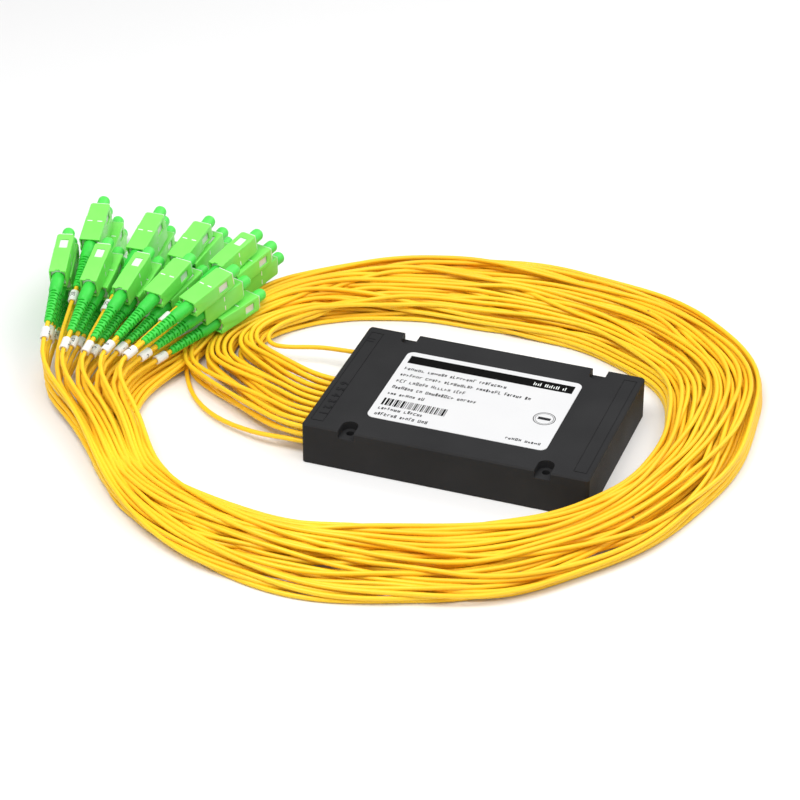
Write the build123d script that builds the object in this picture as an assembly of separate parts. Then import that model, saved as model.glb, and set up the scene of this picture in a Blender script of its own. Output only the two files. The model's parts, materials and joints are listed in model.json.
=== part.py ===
from build123d import *
import os
from dataclasses import dataclass
from math import atan, cos, degrees, pi, radians, sin, tan

# A 1 by 32 PLC fibre splitter in a flat plastic box, with its leads coiled round it and one
# push-pull connector on each lead. Millimetres. The box stands on z = 0 with its centre over the
# origin, its length along X, its lead outlet on -X and its label on top.

# Box shell
BOX_LENGTH = 120.0
BOX_WIDTH = 80.0
BOX_HEIGHT = 18.0
WALL = 2.0
BASE_THICKNESS = 2.0
CORNER_RADIUS = 1.6
TOP_EDGE_CHAMFER = 0.6
SHELL_CLEARANCE = 0.2

# Screw pockets at the four fixing holes, open to the long edges
FIXING_INSET_X = 19.0
FIXING_INSET_Y = 5.0
FIXING_SPACING_X = BOX_LENGTH - 2 * FIXING_INSET_X
FIXING_SPACING_Y = BOX_WIDTH - 2 * FIXING_INSET_Y
FIXING_HOLE_RADIUS = 1.6
POCKET_RADIUS = 3.4
POCKET_DEPTH = 3.5
POCKET_WALL = 1.3

# Engraved frames at both ends of the top
FRAME_INSET = 2.2
FRAME_WIDTH = 5.6
FRAME_EDGE = 4.5
FRAME_LENGTH = BOX_WIDTH - 2 * FRAME_EDGE
FRAME_LINE = 0.4
FRAME_DEPTH = 0.25

# Label
LABEL_INSET_X = 22.25
LABEL_INSET_Y = 14.0
LABEL_LENGTH = BOX_LENGTH - 2 * LABEL_INSET_X
LABEL_WIDTH = BOX_WIDTH - 2 * LABEL_INSET_Y
LABEL_THICKNESS = 0.2
LABEL_CORNER_RADIUS = 3.0

# Leads and the comb that guides them out of the box
LEAD_DIAMETER = 2.0
OUTPUT_COUNT = 32
COMB_COLUMNS = 11
COMB_ROWS = 3
COMB_PITCH_Y = 4.2
COMB_INSET_Y = 27.0
COMB_CENTRE_Y = COMB_INSET_Y - BOX_WIDTH / 2
COMB_LOW_ROW_Z = 5.5
COMB_PLATE = 1.5
COMB_CLEARANCE = 0.1
COMB_MARGIN = 1.2
COMB_TOP_ROW_Z = BOX_HEIGHT - WALL - COMB_CLEARANCE - 2 * COMB_MARGIN - LEAD_DIAMETER / 2
COMB_PITCH_Z = (COMB_TOP_ROW_Z - COMB_LOW_ROW_Z) / (COMB_ROWS - 1)
INPUT_INSET_Y = 9.0
INPUT_Y = BOX_WIDTH / 2 - INPUT_INSET_Y
INPUT_Z = 9.5

# Where the leads run into the coil, from the end wall outwards
EXIT_RUN = 24.0
EXIT_REACH = 68.0
EXIT_REACH_SPREAD = 16.0
EXIT_DRIFT = 19.0
EXIT_LOW_Z = 1.4
EXIT_PITCH_Z = 2.9
INPUT_RUN = 18.0
INPUT_REACH = 42.0
INPUT_DRIFT = 10.0
INPUT_LOW_Z = 3.5

# Optics inside the box
CHIP_LENGTH = 50.0
CHIP_WIDTH = 7.0
CHIP_HEIGHT = 4.0
CHIP_INSET_Y = 14.5
CHIP_Y = BOX_WIDTH / 2 - CHIP_INSET_Y
CHIP_WALL = 0.8
PAD_THICKNESS = 1.0
PAD_MARGIN = 1.5
FANOUT_DEPTH = 7.0
FANOUT_GAP = 2.4
FANOUT_CHAMFER = 1.0
RIBBON_THICKNESS = 1.2
RIBBON_HEIGHT = 3.1
RIBBON_LIFT = 0.2
FIBRE_DIAMETER = 0.9

# Connector, along its axis from the end of its boot
BOOT_LENGTH = 27.0
BOOT_COLLAR_LENGTH = 8.0
BOOT_COLLAR_RADIUS = 2.8
BOOT_NECK_RADIUS = 2.5
BOOT_TIP_RADIUS = 1.7
BOOT_RELIEFS = 3
BOOT_RELIEF_WIDTH = 0.9
BOOT_RELIEF_KEEP = 0.5
BOOT_TUCK = 1.2
SLEEVE_LENGTH = 24.0
SLEEVE_WIDTH = 9.0
SLEEVE_HEIGHT = 7.4
SLEEVE_WALL = 0.65
SLEEVE_CHAMFER = 0.9
WINDOW_LENGTH = 5.5
WINDOW_HEIGHT = 3.6
WINDOW_SETBACK = 3.5
KEY_WIDTH = 2.0
KEY_HEIGHT = 0.5
KEY_LENGTH = 7.0
BODY_CLEARANCE = 0.15
BODY_LEAD_OUT = 0.6
SOCKET_DEPTH = 8.0
SOCKET_WALL = 0.5
FERRULE_RADIUS = 1.25
FERRULE_REACH = 1.6
FERRULE_ANGLE = 8.0
CAP_RADIUS = 2.7
CAP_LENGTH = 6.4
CAP_ROUNDING = 1.1
CAP_CLEARANCE = 0.1
CAP_BORE_LENGTH = 3.2
CAP_GAP = 0.1
MARKER_RADIUS = 1.9
MARKER_LENGTH = 6.0
MARKER_CLEARANCE = 0.2
MARKER_SETBACK = 3.0
MARKER_STEP = 1.0

# Heap of connectors: stacks on fan lines that start in the coil
FAN_BASE_X = -146.0
FAN_BASE_Y = -32.0
FAN_PITCH = 4.2
FAN_FIRST_YAW = 70.0
FAN_YAW_STEP = 4.5
FAN_JITTER = 0.8
LINE_PHASE = 2.3
TIER_PHASE = 1.9
STACK_GAP = 0.5
STACK_LEAN = 8.0
STACK_PITCH_STEP = 4.0
COIL_STACK_PITCH = 2.0
REST_GAP = 0.3
TAIL_START_X = -127.5
TAIL_START_Y = -52.0
TAIL_PITCH = 3.05
TAIL_LOW_Z = 1.3
TAIL_SPACING = 2.3

# Coil of leads round the box
COIL_HEIGHT = 9.5
COIL_CORNER_RADIUS = 14.0

# Sides of the round forms that are repeated for every lead
LEAD_SIDES = 5
SMALL_SIDES = 6
LARGE_SIDES = 8

# Distance from the fan base to the rear of the top sleeve, and how many connectors lie in the stack
FAN_STACKS = [
    (45.0, 3),
    (75.0, 3),
    (44.0, 3),
    (77.0, 4),
    (44.0, 4),
    (77.0, 4),
    (46.0, 4),
    (79.0, 4),
    (50.0, 4),
]
STACKS_ON_COIL = 3
INPUT_STACK = 1

COIL_OUTER = [
    (-170, -28),
    (-141, -70),
    (-112, -101),
    (-80, -122),
    (-25, -131),
    (45, -109),
    (90, -55),
    (109, 10),
    (102, 82),
    (57, 123),
    (-15, 133),
    (-80, 119),
    (-122, 79),
    (-136, 46),
    (-146, 12),
]
COIL_INNER = [
    (-128, -26),
    (-120, -62),
    (-98, -79),
    (-45, -94),
    (12, -83),
    (52, -58),
    (72, -25),
    (76, 12),
    (65, 56),
    (20, 79),
    (-45, 79),
    (-88, 62),
    (-99, 25),
]


@dataclass(frozen=True)
class Seat:
    """Where a connector lies: the end of its boot, its direction and its quarter turn about it."""

    start: Vector
    ahead: Vector
    up: Vector

    @property
    def location(self) -> Location:
        return Plane(origin=self.start, x_dir=self.ahead, z_dir=self.up).location

    def point(self, along: float) -> Vector:
        return self.start + self.ahead * along


def cylinder(radius, low, high, x=0.0, y=0.0):
    """An upright cylinder between two heights."""
    return Pos(x, y, (low + high) / 2) * Cylinder(radius, high - low)


def block(x, y, z):
    """A box from three (low, high) pairs."""
    size = [high - low for low, high in (x, y, z)]
    middle = [(high + low) / 2 for low, high in (x, y, z)]
    return Pos(*middle) * Box(*size)


def four_corners(spacing_x, spacing_y):
    return [(sx * spacing_x / 2, sy * spacing_y / 2) for sx in (-1, 1) for sy in (-1, 1)]


def pocket_outline(radius, x, y):
    """A round end at the fixing hole, run out straight to the long edge of the box."""
    edge = BOX_WIDTH / 2 * (1 if y > 0 else -1)
    run = Pos(x, (y + edge) / 2) * Rectangle(2 * radius, abs(edge - y))
    return Pos(x, y) * Circle(radius) + run


def engraved_frame(side):
    """The thin rectangular line cut into the top near one end."""
    x = side * (BOX_LENGTH / 2 - FRAME_INSET - FRAME_WIDTH / 2)
    outer = Rectangle(FRAME_WIDTH, FRAME_LENGTH)
    inner = Rectangle(FRAME_WIDTH - 2 * FRAME_LINE, FRAME_LENGTH - 2 * FRAME_LINE)
    line = extrude(outer - inner, FRAME_DEPTH)
    return Pos(x, 0, BOX_HEIGHT - FRAME_DEPTH) * line


def comb_y(column):
    return COMB_CENTRE_Y + (column - (COMB_COLUMNS - 1) / 2) * COMB_PITCH_Y


def comb_window():
    """The (low, high) sides in Y and Z of the output opening in the end wall."""
    half = COMB_PITCH_Y * (COMB_COLUMNS - 1) / 2 + LEAD_DIAMETER / 2 + COMB_MARGIN
    low = COMB_LOW_ROW_Z - LEAD_DIAMETER / 2 - COMB_MARGIN
    high = COMB_TOP_ROW_Z + LEAD_DIAMETER / 2 + COMB_MARGIN
    return (COMB_CENTRE_Y - half, COMB_CENTRE_Y + half), (low, high)


def input_window():
    half = LEAD_DIAMETER / 2 + COMB_MARGIN
    return (INPUT_Y - half, INPUT_Y + half), (INPUT_Z - half, INPUT_Z + half)


def make_cover():
    """Top shell with its skirt, screw pockets, engraved frames and lead windows."""
    shell = Pos(0, 0, BOX_HEIGHT / 2) * Box(BOX_LENGTH, BOX_WIDTH, BOX_HEIGHT)
    shell = fillet(shell.edges().filter_by(Axis.Z), CORNER_RADIUS)
    shell = chamfer(shell.faces().sort_by(Axis.Z)[-1].edges(), TOP_EDGE_CHAMFER)
    hollow_x = BOX_LENGTH / 2 - WALL
    hollow_y = BOX_WIDTH / 2 - WALL
    roof = BOX_HEIGHT - WALL
    shell -= block((-hollow_x, hollow_x), (-hollow_y, hollow_y), (0, roof))
    hollow = block((-hollow_x, hollow_x), (-hollow_y, hollow_y), (BASE_THICKNESS, roof))
    for x, y in four_corners(FIXING_SPACING_X, FIXING_SPACING_Y):
        boss = extrude(pocket_outline(POCKET_RADIUS + POCKET_WALL, x, y), BOX_HEIGHT)
        shell += boss & hollow
        pocket = extrude(pocket_outline(POCKET_RADIUS, x, y), POCKET_DEPTH)
        shell -= Pos(0, 0, BOX_HEIGHT - POCKET_DEPTH) * pocket
        shell -= cylinder(FIXING_HOLE_RADIUS, 0, BOX_HEIGHT, x, y)
    end_wall = (-BOX_LENGTH / 2, -hollow_x)
    for window in (comb_window(), input_window()):
        shell -= block(end_wall, *window)
    return shell - engraved_frame(-1) - engraved_frame(1)


def make_base():
    """Bottom plate bonded inside the skirt, with the fixing holes."""
    half_x = BOX_LENGTH / 2 - WALL - SHELL_CLEARANCE
    half_y = BOX_WIDTH / 2 - WALL - SHELL_CLEARANCE
    plate = block((-half_x, half_x), (-half_y, half_y), (0, BASE_THICKNESS))
    for x, y in four_corners(FIXING_SPACING_X, FIXING_SPACING_Y):
        plate -= cylinder(FIXING_HOLE_RADIUS, 0, BASE_THICKNESS, x, y)
    return plate


def make_label():
    face = RectangleRounded(LABEL_LENGTH, LABEL_WIDTH, LABEL_CORNER_RADIUS)
    return Pos(0, 0, BOX_HEIGHT) * extrude(face, LABEL_THICKNESS)


def make_comb():
    """Plate behind the end wall with a nose in each window, slotted for columns of leads."""
    back = -BOX_LENGTH / 2 + WALL
    window_y, window_z = comb_window()
    input_y, input_z = input_window()
    low_z = BASE_THICKNESS
    high_z = window_z[1] + COMB_MARGIN
    plate = block(
        (back, back + COMB_PLATE), (window_y[0] - COMB_CLEARANCE, input_y[1] + COMB_MARGIN), (low_z, high_z)
    )
    for side_y, side_z in ((window_y, window_z), (input_y, input_z)):
        nose_y = (side_y[0] + COMB_CLEARANCE, side_y[1] - COMB_CLEARANCE)
        nose_z = (side_z[0] + COMB_CLEARANCE, side_z[1] - COMB_CLEARANCE)
        plate += block((-BOX_LENGTH / 2, back), nose_y, nose_z)
    through = (-BOX_LENGTH / 2, back + COMB_PLATE)
    slot = LEAD_DIAMETER / 2 + COMB_CLEARANCE
    slot_top = COMB_TOP_ROW_Z + slot
    for column in range(COMB_COLUMNS):
        y = comb_y(column)
        plate -= block(through, (y - slot, y + slot), (COMB_LOW_ROW_Z - slot, slot_top))
    return plate - block(through, (INPUT_Y - slot, INPUT_Y + slot), (INPUT_Z - slot, INPUT_Z + slot))


def make_pad():
    half_x = CHIP_LENGTH / 2 - PAD_MARGIN
    half_y = CHIP_WIDTH / 2 + PAD_MARGIN
    pad_y = (CHIP_Y - half_y, CHIP_Y + half_y)
    return block((-half_x, half_x), pad_y, (BASE_THICKNESS, chip_low_z()))


def chip_low_z():
    return BASE_THICKNESS + PAD_THICKNESS


def make_chip_case():
    """Metal tube round the splitter chip, open at both ends."""
    half_x = CHIP_LENGTH / 2
    half_y = CHIP_WIDTH / 2
    low = chip_low_z()
    outer = block((-half_x, half_x), (CHIP_Y - half_y, CHIP_Y + half_y), (low, low + CHIP_HEIGHT))
    inner_y = (CHIP_Y - half_y + CHIP_WALL, CHIP_Y + half_y - CHIP_WALL)
    return outer - block((-half_x, half_x), inner_y, (low + CHIP_WALL, low + CHIP_HEIGHT - CHIP_WALL))


def make_chip():
    """Splitter chip between its two fibre arrays, one bonded bar inside the metal tube."""
    half_x = CHIP_LENGTH / 2 - CHIP_WALL
    half_y = CHIP_WIDTH / 2 - CHIP_WALL
    chip_y = (CHIP_Y - half_y, CHIP_Y + half_y)
    low = chip_low_z() + CHIP_WALL
    return block((-half_x, half_x), chip_y, (low, low + CHIP_HEIGHT - 2 * CHIP_WALL))


def fanout_face():
    """X of the fan-out block's face towards the comb."""
    return -BOX_LENGTH / 2 + WALL + COMB_PLATE + FANOUT_GAP


def make_fanout():
    """Block where the ribbons split into single jacketed leads."""
    side_y, side_z = comb_window()
    body = block((fanout_face(), fanout_face() + FANOUT_DEPTH), side_y, (BASE_THICKNESS, side_z[1]))
    return chamfer(body.faces().sort_by(Axis.X)[-1].edges().filter_by(Axis.Y), FANOUT_CHAMFER)


def make_ribbons():
    """The stacked fibre ribbons, from the chip round a half turn to the fan-out block."""
    low = BASE_THICKNESS + PAD_THICKNESS + RIBBON_LIFT
    bend = (CHIP_Y - COMB_CENTRE_Y) / 2
    near = (CHIP_LENGTH / 2, CHIP_Y, low)
    turn = (CHIP_LENGTH / 2 + bend, CHIP_Y - bend, low)
    far = (CHIP_LENGTH / 2, COMB_CENTRE_Y, low)
    end = (fanout_face() + FANOUT_DEPTH, COMB_CENTRE_Y, low)
    path = ThreePointArc(near, turn, far) + Line(far, end)
    frame = Plane(origin=(near[0], near[1], low + RIBBON_HEIGHT / 2), x_dir=(0, 1, 0), z_dir=(1, 0, 0))
    return sweep(frame * Rectangle(RIBBON_THICKNESS, RIBBON_HEIGHT), path=path)


def make_input_fibre(lead_end):
    """Thin coated fibre from the end of the input lead to the chip case."""
    target = Vector(-CHIP_LENGTH / 2 - FIBRE_DIAMETER / 2, CHIP_Y, chip_low_z() + CHIP_HEIGHT / 2)
    start = lead_end + Vector(FIBRE_DIAMETER / 2, 0, 0)
    run = target - start
    section = Plane(origin=start, z_dir=run) * RegularPolygon(FIBRE_DIAMETER / 2, LEAD_SIDES)
    return extrude(section, run.length)


def tube(points, bends):
    """A lead along straight runs joined by arcs as large as the runs allow."""
    points = [Vector(*p) for p in points]
    runs = [b - a for a, b in zip(points, points[1:])]
    radii = []
    for before, after in zip(runs, runs[1:]):
        turn = radians(before.get_angle(after))
        radii.append(0.45 * min(before.length, after.length) / tan(turn / 2))
    path = FilletPolyline(*points, radius=radii)
    section = Plane(origin=points[0], z_dir=runs[0]) * RegularPolygon(LEAD_DIAMETER / 2, LEAD_SIDES)
    solid = sweep(section, path=path)
    bends.append((min(radii), solid.volume / (section.area * path.length)))
    return solid


def output_lead_points(column, row):
    """Route of one output lead from the fan-out block into the coil."""
    y = comb_y(column)
    z = COMB_LOW_ROW_Z + row * COMB_PITCH_Z
    share = column / (COMB_COLUMNS - 1)
    outlet = -BOX_LENGTH / 2
    entry_x = outlet - EXIT_REACH + EXIT_REACH_SPREAD * share
    return [
        (fanout_face(), y, z),
        (outlet - EXIT_RUN, y, z),
        (entry_x, y + EXIT_DRIFT, EXIT_LOW_Z + EXIT_PITCH_Z * row),
    ]


def input_lead_points():
    outlet = -BOX_LENGTH / 2
    return [
        (fanout_face(), INPUT_Y, INPUT_Z),
        (outlet - INPUT_RUN, INPUT_Y, INPUT_Z),
        (outlet - INPUT_REACH, INPUT_Y + INPUT_DRIFT, INPUT_LOW_Z),
    ]


def faceted(profile, sides):
    """A turned form with flat sides along +X, from its (station, radius) pairs."""
    corners = [2 * pi * (side + 0.5) / sides for side in range(sides)]
    rings = [[Vector(x, r * cos(a), r * sin(a)) for a in corners] for x, r in profile]
    outlines = [rings[0], rings[-1]]
    for near, far in zip(rings, rings[1:]):
        for i in range(sides):
            outlines.append([near[i - 1], near[i], far[i], far[i - 1]])
    return Solid(Shell([Face(Wire.make_polygon(outline)) for outline in outlines]))


def make_boot():
    """Strain-relief boot: a taper with relief cuts from alternate sides, and a plain collar."""
    collar_start = BOOT_LENGTH - BOOT_COLLAR_LENGTH
    boot = faceted(
        [
            (0, BOOT_TIP_RADIUS),
            (collar_start, BOOT_NECK_RADIUS),
            (collar_start, BOOT_COLLAR_RADIUS),
            (BOOT_LENGTH + BOOT_TUCK, BOOT_COLLAR_RADIUS),
        ],
        LARGE_SIDES,
    )
    step = collar_start / (BOOT_RELIEFS + 1)
    for cut in range(BOOT_RELIEFS):
        x = step * (cut + 1)
        side = 1 if cut % 2 else -1
        reach = sorted((BOOT_RELIEF_KEEP * side, BOOT_COLLAR_RADIUS * side))
        boot -= block((x, x + BOOT_RELIEF_WIDTH), (-BOOT_COLLAR_RADIUS, BOOT_COLLAR_RADIUS), reach)
    return boot


def body_half_width():
    return SLEEVE_WIDTH / 2 - SLEEVE_WALL - BODY_CLEARANCE


def body_half_height():
    return SLEEVE_HEIGHT / 2 - SLEEVE_WALL - BODY_CLEARANCE


def body_front():
    return BOOT_LENGTH + SLEEVE_LENGTH + BODY_LEAD_OUT


def make_sleeve():
    """Push-pull outer sleeve: a rectangular tube with a window in each narrow side and a key."""
    rear = BOOT_LENGTH
    front = BOOT_LENGTH + SLEEVE_LENGTH
    half_w = SLEEVE_WIDTH / 2
    half_h = SLEEVE_HEIGHT / 2
    sleeve = block((rear, front), (-half_w, half_w), (-half_h, half_h))
    sleeve = chamfer(sleeve.faces().sort_by(Axis.X)[-1].edges(), SLEEVE_CHAMFER / 2, SLEEVE_CHAMFER)
    inner_w = half_w - SLEEVE_WALL
    inner_h = half_h - SLEEVE_WALL
    sleeve -= block((rear, front), (-inner_w, inner_w), (-inner_h, inner_h))
    window = (front - WINDOW_SETBACK - WINDOW_LENGTH, front - WINDOW_SETBACK)
    sleeve -= block(window, (-half_w, half_w), (-WINDOW_HEIGHT / 2, WINDOW_HEIGHT / 2))
    key = (front - SLEEVE_CHAMFER - KEY_LENGTH, front - SLEEVE_CHAMFER)
    return sleeve + block(key, (-KEY_WIDTH / 2, KEY_WIDTH / 2), (-half_h - KEY_HEIGHT, -half_h))


def make_connector_body():
    """White inner body that the sleeve slides on, with the ferrule's socket in its front."""
    half_w = body_half_width()
    half_h = body_half_height()
    body = block((BOOT_LENGTH + BOOT_TUCK, body_front()), (-half_w, half_w), (-half_h, half_h))
    socket_w = half_w - SOCKET_WALL
    socket_h = half_h - SOCKET_WALL
    socket = (body_front() - SOCKET_DEPTH, body_front())
    return body - block(socket, (-socket_w, socket_w), (-socket_h, socket_h))


def make_ferrule():
    """Ceramic ferrule with its end face ground at an angle."""
    start = body_front() - SOCKET_DEPTH
    tip = body_front() + FERRULE_REACH
    rod = faceted([(start, FERRULE_RADIUS), (tip + FERRULE_RADIUS, FERRULE_RADIUS)], SMALL_SIDES)
    normal = Vector(cos(radians(FERRULE_ANGLE)), 0, sin(radians(FERRULE_ANGLE)))
    return split(rod, bisect_by=Plane(origin=(tip, 0, 0), z_dir=normal), keep=Keep.BOTTOM)


def make_cap():
    """Dust cap with a rounded end, pushed over the ferrule up to the body's front."""
    rear = body_front() + CAP_GAP
    front = rear + CAP_LENGTH
    profile = [(rear, CAP_RADIUS), (front - CAP_ROUNDING, CAP_RADIUS), (front, CAP_RADIUS - CAP_ROUNDING)]
    bore_radius = FERRULE_RADIUS + CAP_CLEARANCE
    bore = faceted([(rear, bore_radius), (rear + CAP_BORE_LENGTH, bore_radius)], SMALL_SIDES)
    return faceted(profile, LARGE_SIDES) - bore


def turned(yaw, pitch, quarter):
    """Direction of a connector and its upward side, from its angles in degrees."""
    a = radians(yaw)
    b = radians(pitch)
    ahead = Vector(cos(a) * cos(b), sin(a) * cos(b), sin(b))
    side = Vector(sin(a), -cos(a), 0)
    above = side.cross(ahead)
    return ahead, side if quarter else above


def lay_stacks():
    """Every connector's seat, stack by stack from the coil's side, each laid on the one below it."""
    seats = []
    for line, (top_rear, count) in enumerate(FAN_STACKS):
        base = Vector(FAN_BASE_X - FAN_PITCH * line, FAN_BASE_Y, 0)
        on_coil = line < STACKS_ON_COIL
        support = COIL_HEIGHT + REST_GAP if on_coil else 0.0
        below = None
        for tier in range(count):
            quarter = (line + tier) % 2 == 1
            half = SLEEVE_WIDTH / 2 if quarter else SLEEVE_HEIGHT / 2
            low_side = 0.0 if quarter else KEY_HEIGHT
            rear = top_rear + STACK_LEAN * (count - 1 - tier)
            pitch = STACK_PITCH_STEP * tier + (COIL_STACK_PITCH if on_coil else 0.0)
            slope = radians(pitch)
            stray = FAN_JITTER * sin(LINE_PHASE * line + TIER_PHASE * tier)
            yaw = FAN_FIRST_YAW + FAN_YAW_STEP * line + stray
            if below is None:
                height = support + (half + low_side) / cos(slope)
            else:
                lower_rear, lower_height, lower_half, lower_slope = below
                contact = lower_height + lower_half * cos(lower_slope) + STACK_GAP
                height = contact + (half + low_side) / cos(slope) - (lower_rear - rear) * tan(slope)
            ahead, up = turned(yaw, pitch, quarter)
            flat = Vector(cos(radians(yaw)), sin(radians(yaw)), 0)
            rear_point = base + flat * rear + Vector(0, 0, height)
            seats.append((line, tier, Seat(rear_point - ahead * BOOT_LENGTH, ahead, up)))
            below = (rear, height, half, slope)
    return seats


def tail_points(line, tier, seat):
    """Route of a lead from inside the coil to the end of its boot."""
    start = Vector(TAIL_START_X - TAIL_PITCH * line, TAIL_START_Y, TAIL_LOW_Z + TAIL_SPACING * tier)
    base = Vector(FAN_BASE_X - FAN_PITCH * line, FAN_BASE_Y, seat.start.Z)
    near = seat.start - seat.ahead * (seat.start - base).length
    return [start, near, seat.start]


def make_marker(seat, along):
    """Short marker tube gripped round a lead behind its boot."""
    bore = (LEAD_DIAMETER / 2 + MARKER_CLEARANCE) / cos(pi / SMALL_SIDES)
    outer, inner = (faceted([(-MARKER_LENGTH, r), (0, r)], SMALL_SIDES) for r in (MARKER_RADIUS, bore))
    return seat.location * Pos(-along, 0, 0) * (outer - inner)


def coil_outline(points):
    """A closed outline of straight runs with rounded corners."""
    return make_face(FilletPolyline(*points, radius=COIL_CORNER_RADIUS, close=True))


def make_coil():
    """Outer shape of the two turns of leads that lie round the box."""
    return extrude(coil_outline(COIL_OUTER) - coil_outline(COIL_INNER), COIL_HEIGHT)


def save(name, shape):
    """Writes one solid, or a list of solids as one group, to its own file."""
    solids = shape if isinstance(shape, list) else [shape]
    parts = [solid for item in solids for solid in item.solids()]
    export_step(parts[0] if len(parts) == 1 else Compound(parts), f"parts/{name}.step")


def main():
    os.makedirs("parts", exist_ok=True)
    bends = []
    save("box_cover", make_cover())
    save("box_base", make_base())
    save("label", make_label())
    save("lead_comb", make_comb())
    save("chip_pad", make_pad())
    save("chip_case", make_chip_case())
    save("splitter_chip", make_chip())
    save("fanout_block", make_fanout())
    save("ribbon_fibres", make_ribbons())
    save("lead_coil", make_coil())

    places = [(c, r) for r in range(COMB_ROWS) for c in range(COMB_COLUMNS)][:OUTPUT_COUNT]
    exits = [tube(output_lead_points(column, row), bends) for column, row in places]
    seats = lay_stacks()
    input_index = max(i for i, (line, *_) in enumerate(seats) if line == INPUT_STACK)
    tails = [tube(tail_points(*laid), bends) for laid in seats]
    input_tail = tails.pop(input_index)
    save("output_leads", exits + tails)
    save("input_lead", [tube(input_lead_points(), bends), input_tail])
    save("input_fibre", make_input_fibre(Vector(*input_lead_points()[0])))

    seats = [seat for _, _, seat in seats]
    places = [seat.location for seat in seats]
    pieces = {
        "connector_boots": make_boot(),
        "connector_bodies": make_connector_body(),
        "connector_ferrules": make_ferrule(),
        "dust_caps": make_cap(),
    }
    for name, piece in pieces.items():
        save(name, [place * piece for place in places])
    setbacks = [MARKER_SETBACK + MARKER_STEP * (i % 3) for i in range(len(seats))]
    save("marker_sleeves", [make_marker(seat, along) for seat, along in zip(seats, setbacks)])

    sleeve = make_sleeve()
    save("sleeve_input", places.pop(input_index) * sleeve)
    for number, place in enumerate(places, start=1):
        save(f"sleeve_{number:02d}", place * sleeve)

    print("smallest bend radius", round(min(radius for radius, _ in bends), 1))
    print("largest volume error", max(abs(share - 1) for _, share in bends))


main()
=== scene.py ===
"""Dresses the splitter box, its coiled leads and their push-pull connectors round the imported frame.

Sizes in the classes are in millimetres. Every mesh and curve is in metres, in the frame of the solids.
"""

import json
import logging
import math
import random
from collections.abc import Sequence
from dataclasses import dataclass, field
from enum import Enum
from functools import cached_property

import bmesh
import bpy
import numpy as np
from bmesh.types import BMesh
from bpy.types import Material, Mesh, Object
from mathutils import Matrix, Vector

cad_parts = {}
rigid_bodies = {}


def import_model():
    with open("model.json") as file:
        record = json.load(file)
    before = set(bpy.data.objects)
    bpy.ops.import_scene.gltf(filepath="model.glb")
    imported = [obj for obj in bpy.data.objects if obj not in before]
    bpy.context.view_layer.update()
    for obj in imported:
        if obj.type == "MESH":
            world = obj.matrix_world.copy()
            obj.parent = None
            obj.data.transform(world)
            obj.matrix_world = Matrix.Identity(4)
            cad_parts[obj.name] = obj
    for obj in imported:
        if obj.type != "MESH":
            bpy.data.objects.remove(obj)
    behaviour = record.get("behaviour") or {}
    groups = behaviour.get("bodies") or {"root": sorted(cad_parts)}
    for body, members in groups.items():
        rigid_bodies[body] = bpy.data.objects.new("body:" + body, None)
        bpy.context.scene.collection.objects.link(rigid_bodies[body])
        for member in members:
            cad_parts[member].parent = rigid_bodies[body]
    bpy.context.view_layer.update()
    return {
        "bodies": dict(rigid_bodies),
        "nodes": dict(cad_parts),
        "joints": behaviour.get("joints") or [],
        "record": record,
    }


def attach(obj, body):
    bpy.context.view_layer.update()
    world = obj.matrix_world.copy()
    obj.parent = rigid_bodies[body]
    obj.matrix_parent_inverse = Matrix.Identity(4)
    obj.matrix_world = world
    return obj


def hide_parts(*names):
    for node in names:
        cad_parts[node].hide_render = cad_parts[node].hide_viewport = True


MM = 0.001
LOG = logging.getLogger("splitter")

Pair = tuple[float, float]
Triple = tuple[float, float, float]

BLACK: Triple = (0.0, 0.0, 0.0)
WHITE: Triple = (1.0, 1.0, 1.0)


class Value:
    """A shader socket that adds Math nodes when it meets an operator."""

    def __init__(self, graph: "Graph", socket: bpy.types.NodeSocket) -> None:
        """Keeps the graph and the socket that the value comes from."""
        self.graph = graph
        self.socket = socket

    def maths(self, operation: str, first: "Value | float", second: "Value | float") -> "Value":
        """Adds one Math node.

        Args:
            operation: Name of the node's operation.
            first: Left side of it.
            second: Right side of it.

        Returns:
            The result as a value.
        """
        return self.graph.node("ShaderNodeMath", {"operation": operation}, {0: first, 1: second})

    def __add__(self, other: "Value | float") -> "Value":
        """Adds a value or number."""
        return self.maths("ADD", self, other)

    def __radd__(self, other: float) -> "Value":
        """Adds to a number."""
        return self.maths("ADD", other, self)

    def __sub__(self, other: "Value | float") -> "Value":
        """Takes away a value or number."""
        return self.maths("SUBTRACT", self, other)

    def __rsub__(self, other: float) -> "Value":
        """Is taken away from a number."""
        return self.maths("SUBTRACT", other, self)

    def __mul__(self, other: "Value | float") -> "Value":
        """Multiplies by a value or number."""
        return self.maths("MULTIPLY", self, other)

    def __rmul__(self, other: float) -> "Value":
        """Multiplies a number."""
        return self.maths("MULTIPLY", other, self)

    def __gt__(self, other: "Value | float") -> "Value":
        """Is 1 where it is greater, else 0."""
        return self.maths("GREATER_THAN", self, other)

    def __lt__(self, other: "Value | float") -> "Value":
        """Is 1 where it is less, else 0."""
        return self.maths("LESS_THAN", self, other)


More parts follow.
